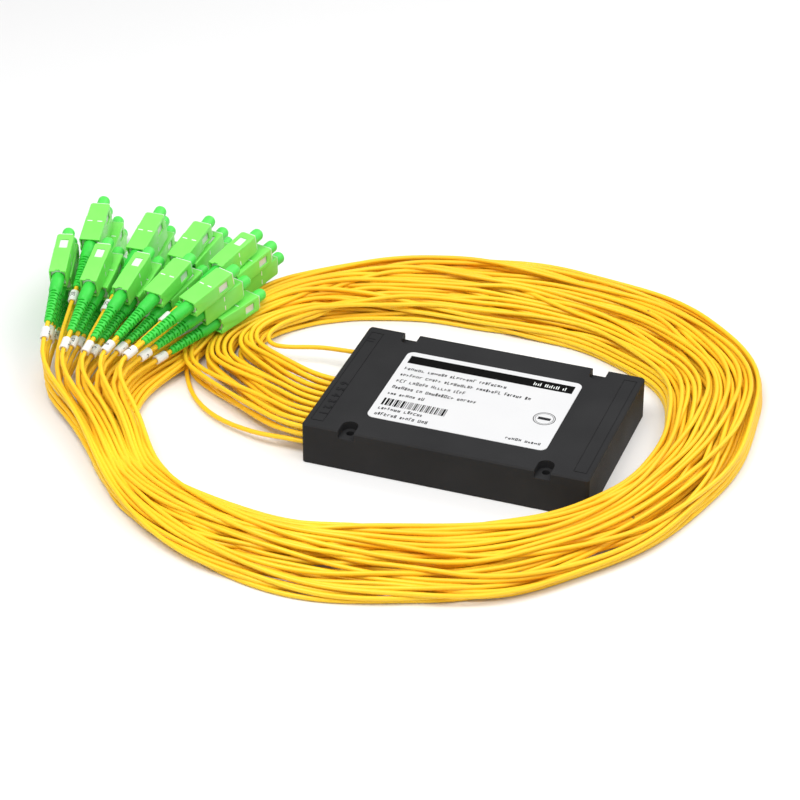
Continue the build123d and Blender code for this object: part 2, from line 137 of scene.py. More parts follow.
class Graph:
    """The nodes of one material or of the world, ending in a shader."""

    def __init__(self, owner: Material | bpy.types.World, ending: str = "BSDF_PRINCIPLED") -> None:
        """Takes up the nodes of a new material or world.

        Args:
            owner: Material or world that the nodes are for.
            ending: Type of the shader node that it starts with.
        """
        owner.use_nodes = True
        self.owner = owner
        self.tree = owner.node_tree
        self.shader = next(n for n in self.tree.nodes if n.type == ending)

    @cached_property
    def place(self) -> Value:
        """Place on the piece, in its own coordinates."""
        return self.node("ShaderNodeTexCoord", output="Object")

    def feed(self, socket: bpy.types.NodeSocket, given: object) -> None:
        """Links a value to a socket, or writes a constant on it.

        Args:
            socket: Input of a node.
            given: Value of another node, or else a number or colour.
        """
        if isinstance(given, Value):
            self.tree.links.new(given.socket, socket)
        else:
            socket.default_value = given

    def node(
        self,
        kind: str,
        settings: dict[str, object] | None = None,
        inputs: dict[int | str, object] | None = None,
        output: int | str = 0,
    ) -> Value:
        """Adds one node of any type.

        Args:
            kind: Node type.
            settings: Properties that are set first. A ramp's stops are (place, colour) pairs.
            inputs: Value, number or colour for each input, by index or name.
            output: Output that the result comes from.

        Returns:
            The chosen output as a value.
        """
        made = self.tree.nodes.new(kind)
        for key, setting in (settings or {}).items():
            if key == "stops":
                for element, (place, colour) in zip(made.color_ramp.elements, setting):
                    element.position = place
                    element.color = colour
            else:
                setattr(made, key, setting)
        for key, given in (inputs or {}).items():
            self.feed(made.inputs[key], given)
        return Value(self, made.outputs[output])

    def noise(self, scale: float, detail: float = 2.0) -> Value:
        """Returns soft noise, from 0 to 1, with a given number of features a metre."""
        inputs = {"Vector": self.place, "Scale": scale, "Detail": detail}
        return self.node("ShaderNodeTexNoise", None, inputs)

    def spread(self, value: Value, low: float, high: float) -> Value:
        """Returns the value stretched so that low becomes 0 and high becomes 1, held in that range."""
        inputs = {0: value, 1: low, 2: high, 3: 0.0, 4: 1.0}
        return self.node("ShaderNodeMapRange", {"clamp": True}, inputs)

    def mix(self, share: Value, first: object, second: object) -> Value:
        """Mixes two colours.

        Args:
            share: Share of the second colour.
            first: Colour or value where the share is 0.
            second: Colour or value where the share is 1.

        Returns:
            The mixed colour.
        """
        inputs = {0: share, 6: first, 7: second}
        return self.node("ShaderNodeMix", {"data_type": "RGBA"}, inputs, output=2)

    def bump(self, height: Value, depth: float) -> None:
        """Gives the shader a bump from a height of 0 to 1 that is depth metres deep."""
        inputs = {"Height": height, "Distance": depth, "Strength": 1.0}
        self.surface(Normal=self.node("ShaderNodeBump", None, inputs))

    def surface(self, **given: object) -> None:
        """Sets or links inputs of the shader; an underscore in a name stands for a space."""
        for name, value in given.items():
            self.feed(self.shader.inputs[name.replace("_", " ")], value)


def opaque(colour: Triple) -> tuple[float, float, float, float]:
    """Returns the colour with full cover."""
    return (*colour, 1.0)


@dataclass(frozen=True)
class Moulded:
    """A moulded plastic, rubber or ceramic: a slow drift of colour, uneven gloss and a fine grain."""

    name: str
    colour: Triple
    drift: Triple
    roughness: float
    unevenness: float
    grain: float
    depth: float
    drift_scale: float = 90.0
    shine: float = 0.38

    def build(self) -> Material:
        """Builds the finish.

        Returns:
            The material.
        """
        graph = Graph(bpy.data.materials.new(self.name))
        cloud = graph.spread(graph.noise(self.drift_scale, 3.0), 0.35, 0.65)
        uneven = graph.noise(self.drift_scale * 4.0) - 0.5
        graph.surface(
            Base_Color=graph.mix(cloud, opaque(self.colour), opaque(self.drift)),
            Roughness=self.roughness + self.unevenness * uneven,
            Specular_IOR_Level=self.shine,
        )
        graph.bump(graph.noise(self.grain, 2.0), self.depth)
        return graph.owner


@dataclass(frozen=True)
class BoxPlastic:
    """Satin black box plastic with a fine moulded grain, faint dust and dull rubbed patches."""

    name: str = "box_plastic"
    colour: Triple = (0.024, 0.024, 0.025)
    dusty: Triple = (0.042, 0.042, 0.043)
    roughness: float = 0.50
    rubbed: float = 0.12
    shine: float = 0.06
    grain_depth: float = 0.00005

    def build(self) -> Material:
        """Builds the finish.

        Returns:
            The material.
        """
        graph = Graph(bpy.data.materials.new(self.name))
        patches = graph.spread(graph.noise(38.0, 4.0), 0.4, 0.75)
        specks = graph.noise(2600.0, 1.0) > 0.74
        dust = patches * 0.35 + specks * 0.25
        graph.surface(
            Base_Color=graph.mix(dust, opaque(self.colour), opaque(self.dusty)),
            Roughness=self.roughness + self.rubbed * patches,
            Specular_IOR_Level=self.shine,
        )
        graph.bump(graph.noise(3200.0, 3.0), self.grain_depth)
        return graph.owner


@dataclass(frozen=True)
class LeadJacket:
    """Smooth golden jacket of a lead, with a slow drift to orange and rare dark print specks."""

    name: str = "lead_jacket"
    colour: Triple = (1.0, 0.65, 0.028)
    deep: Triple = (0.95, 0.47, 0.012)
    print_colour: Triple = (0.42, 0.20, 0.03)
    roughness: float = 0.34
    shine: float = 0.32
    speck_reach: float = 0.085

    def build(self) -> Material:
        """Builds the finish.

        Returns:
            The material.
        """
        graph = Graph(bpy.data.materials.new(self.name))
        drift = graph.spread(graph.noise(22.0, 3.0), 0.35, 0.7)
        jacket = graph.mix(drift * 0.5, opaque(self.colour), opaque(self.deep))
        cells = {"Vector": graph.place, "Scale": 105.0}
        specks = graph.node("ShaderNodeTexVoronoi", None, cells, "Distance") < self.speck_reach
        marked = specks * (graph.noise(31.0, 1.0) > 0.66)
        graph.surface(
            Base_Color=graph.mix(marked, jacket, opaque(self.print_colour)),
            Roughness=self.roughness + 0.1 * drift,
            Specular_IOR_Level=self.shine,
        )
        graph.bump(graph.noise(700.0, 2.0), 0.00004)
        return graph.owner


@dataclass(frozen=True)
class PrintedFilm:
    """White printed film of the label, with the faint fibre and gloss of coated paper."""

    name: str = "label_film"
    colour: Triple = (0.71, 0.71, 0.71)
    shade: Triple = (0.67, 0.67, 0.68)
    roughness: float = 0.38

    def build(self) -> Material:
        """Builds the finish.

        Returns:
            The material.
        """
        graph = Graph(bpy.data.materials.new(self.name))
        cloud = graph.noise(60.0, 4.0)
        fibre = graph.noise(2200.0, 2.0)
        graph.surface(
            Base_Color=graph.mix(cloud, opaque(self.colour), opaque(self.shade)),
            Roughness=self.roughness + 0.1 * fibre,
        )
        graph.bump(fibre, 0.00002)
        return graph.owner


@dataclass(frozen=True)
class Ink:
    """Printed ink that is a little thin in places."""

    name: str
    colour: Triple
    thin: Triple
    roughness: float = 0.5
    shine: float = 0.04

    def build(self) -> Material:
        """Builds the finish.

        Returns:
            The material.
        """
        graph = Graph(bpy.data.materials.new(self.name))
        wear = graph.spread(graph.noise(1400.0, 3.0), 0.5, 0.9)
        graph.surface(
            Base_Color=graph.mix(wear, opaque(self.colour), opaque(self.thin)),
            Roughness=self.roughness + 0.1 * wear,
            Specular_IOR_Level=self.shine,
        )
        return graph.owner


@dataclass(frozen=True)
class PaleFloor:
    """White floor that shows soft shadows and clears to white away from the part."""

    name: str = "pale_floor"
    colour: Triple = (0.84, 0.84, 0.84)
    lift: float = 0.02

    def build(self) -> Material:
        """Builds the finish.

        Returns:
            The material.
        """
        graph = Graph(bpy.data.materials.new(self.name))
        camera, glossy, through = (
            graph.node("ShaderNodeLightPath", output=f"Is {kind} Ray")
            for kind in ("Camera", "Glossy", "Transmission")
        )
        graph.surface(
            Base_Color=opaque(self.colour),
            Roughness=0.9,
            Specular_IOR_Level=0.0,
            Emission_Color=graph.mix(camera + glossy + through, opaque(BLACK), opaque(WHITE)),
            Emission_Strength=self.lift,
        )
        return graph.owner


class Finish(Enum):
    """The finishes of the part's pieces, by the record's material slots where they have one."""

    BOX = BoxPlastic()
    LABEL = PrintedFilm()
    DARK_INK = Ink("label_dark_ink", (0.003, 0.003, 0.003), (0.012, 0.012, 0.012))
    GREY_INK = Ink("label_grey_ink", (0.02, 0.02, 0.022), (0.09, 0.09, 0.09))
    JACKET = LeadJacket()
    BOOT = Moulded("boot_rubber", (0.060, 0.68, 0.075), (0.040, 0.60, 0.055), 0.42, 0.12, 900.0, 0.00003)
    GRIP = Moulded("grip_plastic", (0.240, 0.90, 0.140), (0.210, 0.84, 0.120), 0.36, 0.10, 1500.0, 0.000015)
    CAP = Moulded("cap_plastic", (0.110, 0.80, 0.110), (0.085, 0.72, 0.090), 0.38, 0.10, 900.0, 0.00002)
    WHITE = Moulded("white_plastic", (0.86, 0.86, 0.84), (0.80, 0.80, 0.77), 0.35, 0.10, 1200.0, 0.00001)
    CERAMIC = Moulded("ceramic", (0.93, 0.92, 0.90), (0.88, 0.87, 0.85), 0.15, 0.05, 2500.0, 0.000004)
    INDEX = Ink("index_white", (0.90, 0.93, 0.90), (0.80, 0.86, 0.80))
    # A darker black than the box plastic: painted shade standing in for the shade in the strokes of the
    # numerals and the input bars.
    RECESS = Moulded(
        "marks_painted_shade", (0.010, 0.010, 0.011), (0.018, 0.018, 0.019),
        0.5, 0.1, 2600.0, 0.00002, shine=0.1,
    )
    STEEL = Moulded("steel", (0.62, 0.62, 0.62), (0.52, 0.52, 0.53), 0.35, 0.15, 3000.0, 0.00001)
    SILICA = Moulded("silica", (0.82, 0.88, 0.90), (0.75, 0.82, 0.86), 0.12, 0.05, 800.0, 0.000005)
    RIBBON = Moulded("ribbon", (0.80, 0.82, 0.85), (0.72, 0.75, 0.80), 0.30, 0.10, 900.0, 0.00001)
    FOAM = Moulded("foam", (0.75, 0.75, 0.73), (0.62, 0.62, 0.60), 0.85, 0.10, 1300.0, 0.0002)
    FLOOR = PaleFloor()


class Wardrobe:
    """Builds each finish once and puts it on pieces."""

    def __init__(self) -> None:
        """Starts with no material made."""
        self.made: dict[Finish, Material] = {}

    def dress(self, piece: Object, finish: Finish) -> Object:
        """Puts a finish on every slot of a piece.

        Args:
            piece: Piece or solid to dress.
            finish: Finish that it gets.

        Returns:
            The piece.
        """
        if finish not in self.made:
            self.made[finish] = finish.value.build()
        piece.data.materials.clear()
        piece.data.materials.append(self.made[finish])
        return piece


def add_object(name: str, data: bpy.types.ID) -> Object:
    """Adds an object to the scene.

    Args:
        name: Name of the object.
        data: Mesh, curve, lamp or camera that it shows.

    Returns:
        The object.
    """
    made = bpy.data.objects.new(name, data)
    bpy.context.scene.collection.objects.link(made)
    return made


def finished_mesh(name: str, bm: BMesh, sharp: float = 35.0) -> Mesh:
    """Writes a bmesh to a mesh with smooth sides and creases above an angle.

    Args:
        name: Name of the mesh.
        bm: Filled bmesh, freed here.
        sharp: Angle in degrees above which an edge stays sharp.

    Returns:
        The mesh.
    """
    bmesh.ops.recalc_face_normals(bm, faces=bm.faces)
    mesh = bpy.data.meshes.new(name)
    bm.to_mesh(mesh)
    bm.free()
    mesh.polygons.foreach_set("use_smooth", [True] * len(mesh.polygons))
    mesh.set_sharp_from_angle(angle=math.radians(sharp))
    return mesh


def skin(bm: BMesh, rings: Sequence[Sequence[Vector]], closed: bool = False) -> None:
    """Joins rings of points with quads and closes both ends, or the last ring to the first.

    Args:
        bm: Bmesh that the faces go into.
        rings: Rings with the same number of points, in metres.
        closed: True where the last ring joins the first one.
    """
    rows = [[bm.verts.new(point) for point in ring] for ring in rings]
    pairs = list(zip(rows, rows[1:])) + ([(rows[-1], rows[0])] if closed else [])
    for near, far in pairs:
        for i in range(len(near)):
            bm.faces.new((near[i - 1], near[i], far[i], far[i - 1]))
    if not closed:
        bm.faces.new(rows[0])
        bm.faces.new(rows[-1])


def slab(bm: BMesh, x: Pair, y: Pair, z: Pair) -> None:
    """Adds a closed block between pairs of limits in millimetres."""
    corners = ((x[0], y[0]), (x[1], y[0]), (x[1], y[1]), (x[0], y[1]))
    skin(bm, [[Vector((*corner, height)) * MM for corner in corners] for height in z])


def turned_ring(station: float, radius: float, sides: int) -> list[Vector]:
    """Returns a circle round the X axis, in metres from millimetres."""
    angles = [2 * math.pi * i / sides for i in range(sides)]
    return [Vector((station, radius * math.cos(a), radius * math.sin(a))) * MM for a in angles]


def rounded_ring(station: float, half_y: float, half_z: float, corner: float) -> list[Vector]:
    """Returns a rectangle with round corners at one station along X.

    Args:
        station: Place along X in millimetres.
        half_y: Half its width.
        half_z: Half its height.
        corner: Corner radius.

    Returns:
        The points in metres.
    """
    steps = 4
    points = []
    for quarter, (sy, sz) in enumerate(((1, 1), (-1, 1), (-1, -1), (1, -1))):
        for step in range(steps + 1):
            angle = math.pi / 2 * (quarter + step / steps)
            y = sy * (half_y - corner) + corner * math.cos(angle)
            z = sz * (half_z - corner) + corner * math.sin(angle)
            points.append(Vector((station, y, z)) * MM)
    return points


def settled(target: Object) -> Mesh:
    """Works an object's modifiers or its text into a mesh.

    Args:
        target: Object that is read.

    Returns:
        A new mesh, free of the object.
    """
    bpy.context.view_layer.update()
    graph = bpy.context.evaluated_depsgraph_get()
    return bpy.data.meshes.new_from_object(target.evaluated_get(graph))


def figures(name: str, number: int, size: float, rise: float = 0.0, boldness: float = 0.0) -> Mesh:
    """Builds a plain number, centred on the origin and facing up.

    Args:
        name: Name of the mesh.
        number: Number to show.
        size: Size of the figures in millimetres.
        rise: How far they stand up and reach down.
        boldness: How far their outline is set outwards.

    Returns:
        The mesh.
    """
    curve = bpy.data.curves.new(name, "FONT")
    curve.body = str(number)
    curve.size = size * MM
    curve.extrude = rise * MM
    curve.offset = boldness * MM
    curve.align_x = "CENTER"
    curve.align_y = "CENTER"
    maker = add_object(f"{name}_maker", curve)
    mesh = settled(maker)
    bpy.data.objects.remove(maker)
    return mesh


def cut_out(mesh: Mesh, cutters: Sequence[Mesh], round_over: float, crease: float = 40.0) -> Mesh:
    """Cuts forms out of a closed mesh and rounds its creases.

    Args:
        mesh: Closed mesh that is cut.
        cutters: Closed forms to take away.
        round_over: Width of the rounding in millimetres.
        crease: Angle in degrees above which an edge is a crease.

    Returns:
        The cut mesh, smooth with sharp creases.
    """
    target = add_object("cutting", mesh)
    tools = [add_object(f"cutter_{i}", cutter) for i, cutter in enumerate(cutters)]
    for tool in tools:
        step = target.modifiers.new("cut", "BOOLEAN")
        step.operation = "DIFFERENCE"
        step.solver = "EXACT"
        step.object = tool
    edge = target.modifiers.new("edge", "BEVEL")
    edge.width = round_over * MM
    edge.segments = 2
    edge.limit_method = "ANGLE"
    edge.angle_limit = math.radians(crease)
    edge.use_clamp_overlap = True
    made = settled(target)
    for leftover in (target, *tools):
        bpy.data.objects.remove(leftover)
    made.polygons.foreach_set("use_smooth", [True] * len(made.polygons))
    made.set_sharp_from_angle(angle=math.radians(crease))
    return made


@dataclass(frozen=True)
class Seat:
    """Where a connector lies: the end of its boot, its direction and its upward side."""

    tag: str
    start: Vector
    ahead: Vector
    up: Vector

    @property
    def matrix(self) -> Matrix:
        """Place of a piece that is built along +X from the end of the boot.

        Returns:
            The matrix that carries it there.
        """
        across = self.up.cross(self.ahead)
        turn = Matrix((self.ahead, across, self.up)).transposed().to_4x4()
        return Matrix.Translation(self.start) @ turn

    @property
    def number(self) -> int:
        """Plain number of the lead; the input lead has 0."""
        return 0 if self.tag == "input" else int(self.tag)


@dataclass
class SeatFinder:
    """Reads every connector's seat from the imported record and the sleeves' solids."""

    tip: float = 53.2
    wide_half: float = 4.5
    play: float = 0.2
    prefix: str = "plug_"

    def find(self, frame: dict) -> list[Seat]:
        """Finds the seats.

        Args:
            frame: What the frame gives when it is loaded.

        Returns:
            One seat for each connector, in the record's order.
        """
        seats = []
        for mount in frame["record"]["mounts"]:
            if not mount["name"].startswith(self.prefix):
                continue
            tag = mount["name"][len(self.prefix):]
            ahead = Vector(mount["axis"]).normalized()
            start = Vector(mount["pos_m"]) - ahead * (self.tip * MM)
            side = Vector((ahead.y, -ahead.x, 0)).normalized()
            above = side.cross(ahead)
            solid = frame["nodes"][f"sleeve_{tag}"].data
            reach = max((v.co - start).dot(above) for v in solid.vertices)
            on_its_side = reach > (self.wide_half - self.play) * MM
            seats.append(Seat(tag, start, ahead, side if on_its_side else above))
        return seats


@dataclass
class BoxDress:
    """Finishes of the box and its hidden optics, the printed label and the moulded numerals."""

    height: float = 18.0
    film: float = 0.2
    lift: float = 0.03
    second_layer: float = 0.02
    bar: tuple[Pair, Pair] = ((-35.5, 35.3), (17.3, 23.0))
    code: tuple[Pair, Pair] = ((-35.0, -8.0), (-16.0, -10.7))
    code_bars: tuple[float, ...] = (0.3, 0.3, 0.6, 0.9)
    code_gaps: tuple[float, ...] = (0.3, 0.3, 0.6)
    code_seed: int = 11
    rows: tuple[Triple, ...] = (
        (-35.0, 11.0, 13.2), (-35.0, 21.0, 8.2), (-35.0, -5.0, 3.2), (-35.0, 2.0, -1.8),
        (-35.0, -18.0, -6.8), (-35.0, -16.0, -18.2), (-35.0, -12.0, -22.6),
    )
    row_height: float = 2.0
    small_row: Triple = (20.0, 35.0, -22.0)
    small_height: float = 1.5
    row_seed: int = 5
    run_lengths: tuple[int, int] = (2, 9)
    run_gap: float = 1.2
    stroke: float = 0.38
    stroke_widths: Pair = (0.75, 1.25)
    stroke_gap: float = 0.4
    stroke_shares: Triple = (0.7, 0.7, 1.0)
    tick_row: Triple = (18.5, 33.6, 19.8)
    tick_height: float = 2.3
    tick_shares: Pair = (0.7, 1.0)
    tick_steps: tuple[float, ...] = (0.85, 0.85, 1.0, 2.1)
    mark: Triple = (30.4, -3.9, 4.6)
    mark_bands: tuple[Pair, Pair] = ((0.0, 0.35), (0.8, 1.0))
    mark_bar: Pair = (2.6, 0.9)
    mark_sides: int = 40
    numerals: int = 6
    numeral_x: float = -54.6
    numeral_first_y: float = -29.6
    numeral_pitch: float = 4.7
    numeral_size: float = 4.6
    numeral_rise: float = 0.16
    numeral_boldness: float = 0.12
    input_bars: Pair = (-55.7, 29.3)
    input_bar_half: float = 1.6
    input_bar_width: float = 0.5
    input_bar_offset: float = 1.0
    input_bar_depth: Pair = (-0.05, 0.12)

    def top(self) -> float:
        """Height of the printed face."""
        return self.height + self.film + self.lift

    def dress_solids(self, nodes: dict[str, Object], wardrobe: Wardrobe) -> None:
        """Puts finishes on the solids that stay shown.

        Args:
            nodes: The frame's solids by name.
            wardrobe: Source of the finishes.
        """
        finishes = {
            "box_cover": Finish.BOX, "box_base": Finish.BOX, "lead_comb": Finish.BOX,
            "fanout_block": Finish.BOX, "label": Finish.LABEL, "chip_pad": Finish.FOAM,
            "chip_case": Finish.STEEL, "splitter_chip": Finish.SILICA, "ribbon_fibres": Finish.RIBBON,
            "input_fibre": Finish.RIBBON, "connector_bodies": Finish.WHITE,
            "connector_ferrules": Finish.CERAMIC,
        }
        for name, finish in finishes.items():
            wardrobe.dress(nodes[name], finish)
            LOG.info("dressed solid %s", name)

    def patch(self, bm: BMesh, x: Pair, y: Pair, over: float = 0.0) -> None:
        """Adds a thin printed rectangle.

        Args:
            bm: Bmesh of the print.
            x: Its limits along the box.
            y: Its limits across the box.
            over: How far it lies over the first layer.
        """
        z = (self.top() + over) * MM
        corners = ((x[0], y[0]), (x[1], y[0]), (x[1], y[1]), (x[0], y[1]))
        bm.faces.new([bm.verts.new((a * MM, b * MM, z)) for a, b in corners])

    def bar_code(self, bm: BMesh) -> None:
        """Adds upright bars of mixed widths that code nothing.

        Args:
            bm: Bmesh of the print.
        """
        rng = random.Random(self.code_seed)
        (x, end), along = self.code
        while x < end:
            wide = rng.choice(self.code_bars)
            self.patch(bm, (x, min(x + wide, end)), along)
            x += wide + rng.choice(self.code_gaps)

    def stroke_row(self, bm: BMesh, rng: random.Random, row: Triple, tall: float) -> None:
        """Adds a row of short plain strokes in runs of mixed length.

        Args:
            bm: Bmesh of the print.
            rng: Seeded source of the strokes.
            row: Left end, right end and middle height of the row.
            tall: Height of the taller strokes.
        """
        x, end, y = row
        low = y - tall / 2
        while x < end:
            for _ in range(rng.randint(*self.run_lengths)):
                wide = rng.uniform(*self.stroke_widths)
                if x + wide > end:
                    return
                high = low + tall * rng.choice(self.stroke_shares)
                self.patch(bm, (x, x + self.stroke), (low, high))
                for level in rng.sample((low, (low + high) / 2, high), rng.choice((1, 2))):
                    self.patch(bm, (x, x + wide), (level - self.stroke / 2, level + self.stroke / 2))
                if rng.random() < 0.5:
                    self.patch(bm, (x + wide - self.stroke, x + wide), (low, high))
                x += wide + self.stroke_gap
            x += self.run_gap

    def ticks(self, bm: BMesh, rng: random.Random) -> None:
        """Adds a row of plain upright strokes over the dark bar.

        Args:
            bm: Bmesh of the print.
            rng: Seeded source of the strokes' heights and spacing.
        """
        x, end, y = self.tick_row
        low = y - self.tick_height / 2
        while x + self.stroke < end:
            high = low + self.tick_height * rng.choice(self.tick_shares)
            self.patch(bm, (x, x + self.stroke), (low, high), self.second_layer)
            x += rng.choice(self.tick_steps)

    def round_mark(self, bm: BMesh) -> None:
        """Adds a plain double ring with a bar across it.

        Args:
            bm: Bmesh of the print.
        """
        x, y, radius = self.mark
        z = self.top() * MM
        angles = [2 * math.pi * i / self.mark_sides for i in range(self.mark_sides)]
        for band in self.mark_bands:
            rings = []
            for inset in band:
                r = radius - inset
                ring = [((x + r * math.cos(a)) * MM, (y + r * math.sin(a)) * MM, z) for a in angles]
                rings.append([bm.verts.new(point) for point in ring])
            outer, inner = rings
            for i in range(self.mark_sides):
                bm.faces.new((outer[i - 1], outer[i], inner[i], inner[i - 1]))
        half_x, half_y = self.mark_bar
        self.patch(bm, (x - half_x, x + half_x), (y - half_y, y + half_y))

    def print_label(self, wardrobe: Wardrobe) -> None:
        """Prints the label in three layers of ink.

        Args:
            wardrobe: Source of the inks.
        """
        dark, grey, white = bmesh.new(), bmesh.new(), bmesh.new()
        self.patch(dark, *self.bar)
        self.bar_code(dark)
        rng = random.Random(self.row_seed)
        for row in self.rows:
            self.stroke_row(grey, rng, row, self.row_height)
        self.stroke_row(grey, rng, self.small_row, self.small_height)
        self.round_mark(grey)
        self.ticks(white, rng)
        layers = (
            ("label_dark_print", dark, Finish.DARK_INK), ("label_grey_print", grey, Finish.GREY_INK),
            ("label_white_print", white, Finish.INDEX),
        )
        for name, bm, ink in layers:
            layer = wardrobe.dress(add_object(name, finished_mesh(name, bm)), ink)
            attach(layer, "splitter")
            LOG.info("printed %s", name)

    def mould_numerals(self, wardrobe: Wardrobe) -> None:
        """Raises the row of plain numerals by the outlet end and two short bars by the input, in a darker
        black that is painted shade for their strokes.

        Args:
            wardrobe: Source of the finish.
        """
        raised = []
        for i in range(self.numerals):
            name = f"numeral_{i + 1}"
            mesh = figures(name, i + 1, self.numeral_size, self.numeral_rise, self.numeral_boldness)
            numeral = add_object(name, mesh)
            y = self.numeral_first_y + self.numeral_pitch * i
            numeral.location = Vector((self.numeral_x, y, self.height)) * MM
            numeral.rotation_euler = (0, 0, -math.pi / 2)
            raised.append(numeral)
        bm = bmesh.new()
        x, middle = self.input_bars
        half, side = self.input_bar_half, self.input_bar_width / 2
        low, high = (self.height + depth for depth in self.input_bar_depth)
        for y in (middle - self.input_bar_offset, middle + self.input_bar_offset):
            slab(bm, (x - half, x + half), (y - side, y + side), (low, high))
        raised.append(add_object("input_bars", finished_mesh("input_bars", bm)))
        for piece in raised:
            # Their darker black is painted shade for the strokes, not the plastic's own colour.
            wardrobe.dress(piece, Finish.RECESS)
            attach(piece, "splitter")
            LOG.info("moulded %s", piece.name)


@dataclass
class ConnectorKit:
    """The repeated pieces of a push-pull connector, built once along +X and laid in every seat."""

    boot_length: float = 27.0
    collar_length: float = 8.0
    collar_radius: float = 2.8
    collar_bead: float = 0.12
    neck_radius: float = 2.5
    tip_radius: float = 1.7
    tip_rounding: Pair = (0.35, 0.3)
    ribs: int = 11
    rib_depth: float = 1.0
    first_slot: float = 1.2
    last_web: float = 0.6
    slot_share: float = 0.5
    slot_edge: float = 0.12
    web_angle: float = 24.0
    tuck: float = 1.2
    sides: int = 24
    sleeve_length: float = 24.0
    half_width: float = 4.5
    half_height: float = 3.7
    wall: float = 0.65
    step_setback: float = 8.6
    step_length: float = 0.7
    front_step: float = 0.22
    window_length: float = 5.5
    window_height: float = 3.6
    window_setback: float = 3.5
    notch_depth: float = 0.9
    notch_half: Pair = (1.9, 0.9)
    edge_rounding: float = 0.14
    key_width: float = 2.0
    key_height: float = 0.5
    key_ends: Pair = (8.0, 1.0)
    key_ramps: Pair = (0.3, 0.4)
    key_foot: float = 0.1
    index_half: float = 0.25
    index_reach: Pair = (1.1, 3.3)
    index_lift: float = 0.03
    index_sink: float = 0.2
    cap_start: float = 51.7
    cap_length: float = 6.4
    cap_radius: float = 2.7
    cap_rim: Pair = (0.2, 0.15)
    cap_dome: float = 2.2
    cap_steps: int = 7
    marker_radius: float = 1.9
    marker_bore: float = 1.25
    marker_length: float = 6.0
    marker_edge: Pair = (0.25, 0.2)
    marker_setback: float = 3.0
    marker_step: float = 1.0
    marker_sides: int = 20
    digit_size: float = 2.6
    print_lift: float = 0.03

    def boot_radius(self, station: float) -> float:
        """Returns the boot's outer radius at a station along it."""
        share = min(1.0, station / (self.boot_length - self.collar_length))
        return self.tip_radius + (self.neck_radius - self.tip_radius) * share

    def boot_ring(self, station: float, radius: float, rib: int | None) -> list[Vector]:
        """Returns one ring of the boot.

        Args:
            station: Place along X.
            radius: Outer radius there.
            rib: Number of the slot that the ring lies in, or None.

        Returns:
            The points in metres. In a slot only two webs keep the outer radius.
        """
        if rib is None:
            return turned_ring(station, radius, self.sides)
        collar = self.boot_length - self.collar_length
        web = math.pi / 4 + (math.pi / 2) * (rib % 2)
        ring = []
        for i in range(self.sides):
            angle = 2 * math.pi * i / self.sides
            off = abs((angle - web + math.pi / 2) % math.pi - math.pi / 2)
            deep = self.rib_depth * (0.7 + 0.3 * station / collar)
            r = radius - deep if off > math.radians(self.web_angle) else radius
            ring.append(Vector((station, r * math.cos(angle), r * math.sin(angle))) * MM)
        return ring

    def make_boot(self) -> Mesh:
        """Builds the boot: a taper with slots from alternate sides, then a smooth collar.

        Returns:
            The boot's mesh.
        """
        collar = self.boot_length - self.collar_length
        pitch = (collar - self.last_web - self.first_slot) / self.ribs
        slot = pitch * self.slot_share
        edge, bead = self.slot_edge, self.neck_radius + self.collar_bead
        rounding, inset = self.tip_rounding
        stations: list[tuple[float, int | None]] = [(rounding, None)]
        for rib in range(self.ribs):
            x = self.first_slot + pitch * rib
            stations += [(x, None), (x + edge, rib), (x + slot - edge, rib), (x + slot, None)]
        rings = [self.boot_ring(0.0, self.boot_radius(0.0) - inset, None)]
        rings += [self.boot_ring(x, self.boot_radius(x), rib) for x, rib in stations]
        rings += [turned_ring(x, r, self.sides) for x, r in (
            (collar - inset, self.neck_radius), (collar, bead), (collar + rounding, self.collar_radius),
            (self.boot_length, self.collar_radius), (self.boot_length + self.tuck, self.collar_radius),
        )]
        bm = bmesh.new()
        skin(bm, rings)
        return finished_mesh("boot", bm, 32.0)

    def side_cutter(self, name: str, outline: Sequence[Pair]) -> Mesh:
        """Builds a form that cuts across the whole width of the sleeve.

        Args:
            name: Name of the mesh.
            outline: Its outline along X and Z.

        Returns:
            The closed form.
        """
        bm = bmesh.new()
        beyond = self.half_width + 1.0
        skin(bm, [[Vector((x, y, z)) * MM for x, z in outline] for y in (-beyond, beyond)])
        return finished_mesh(name, bm)

    def make_sleeve(self) -> Mesh:
        """Builds the outer sleeve: a rounded tube with a stepped front, side windows and a key.

        Returns:
            The sleeve's mesh.
        """
        rear = self.boot_length
        front = rear + self.sleeve_length
        step = front - self.step_setback
        w, h, wall = self.half_width, self.half_height, self.wall
        narrow = w - self.front_step
        outer = (
            (rear, w - 0.12, h - 0.12, 0.5), (rear + 0.15, w, h, 0.55),
            (step - self.step_length, w, h, 0.55), (step, narrow, h, 0.6),
            (front - 1.0, narrow, h, 0.6), (front, w - 0.5, h - 0.4, 0.7),
        )
        inner = ((front, w - wall - 0.1, h - wall, 0.3), (rear, w - wall, h - wall, 0.3))
        bm = bmesh.new()
        skin(bm, [rounded_ring(*station) for station in outer + inner], closed=True)
        half_x, half_z = self.window_length / 2, self.window_height / 2
        middle = front - self.window_setback - half_x
        back, ahead = middle - half_x, middle + half_x
        window = ((back, -half_z), (ahead, -half_z), (ahead, half_z), (back, half_z))
        wide, tight = self.notch_half
        notch_end = rear + self.notch_depth
        notch = ((rear - 1.0, -wide), (rear - 1.0, wide), (notch_end, tight), (notch_end, -tight))
        cutters = [self.side_cutter("window", window), self.side_cutter("notch", notch)]
        cut = cut_out(finished_mesh("sleeve_tube", bm), cutters, self.edge_rounding)
        bm = bmesh.new()
        bm.from_mesh(cut)
        skin(bm, self.key_rings(front))
        return finished_mesh("sleeve", bm, 30.0)

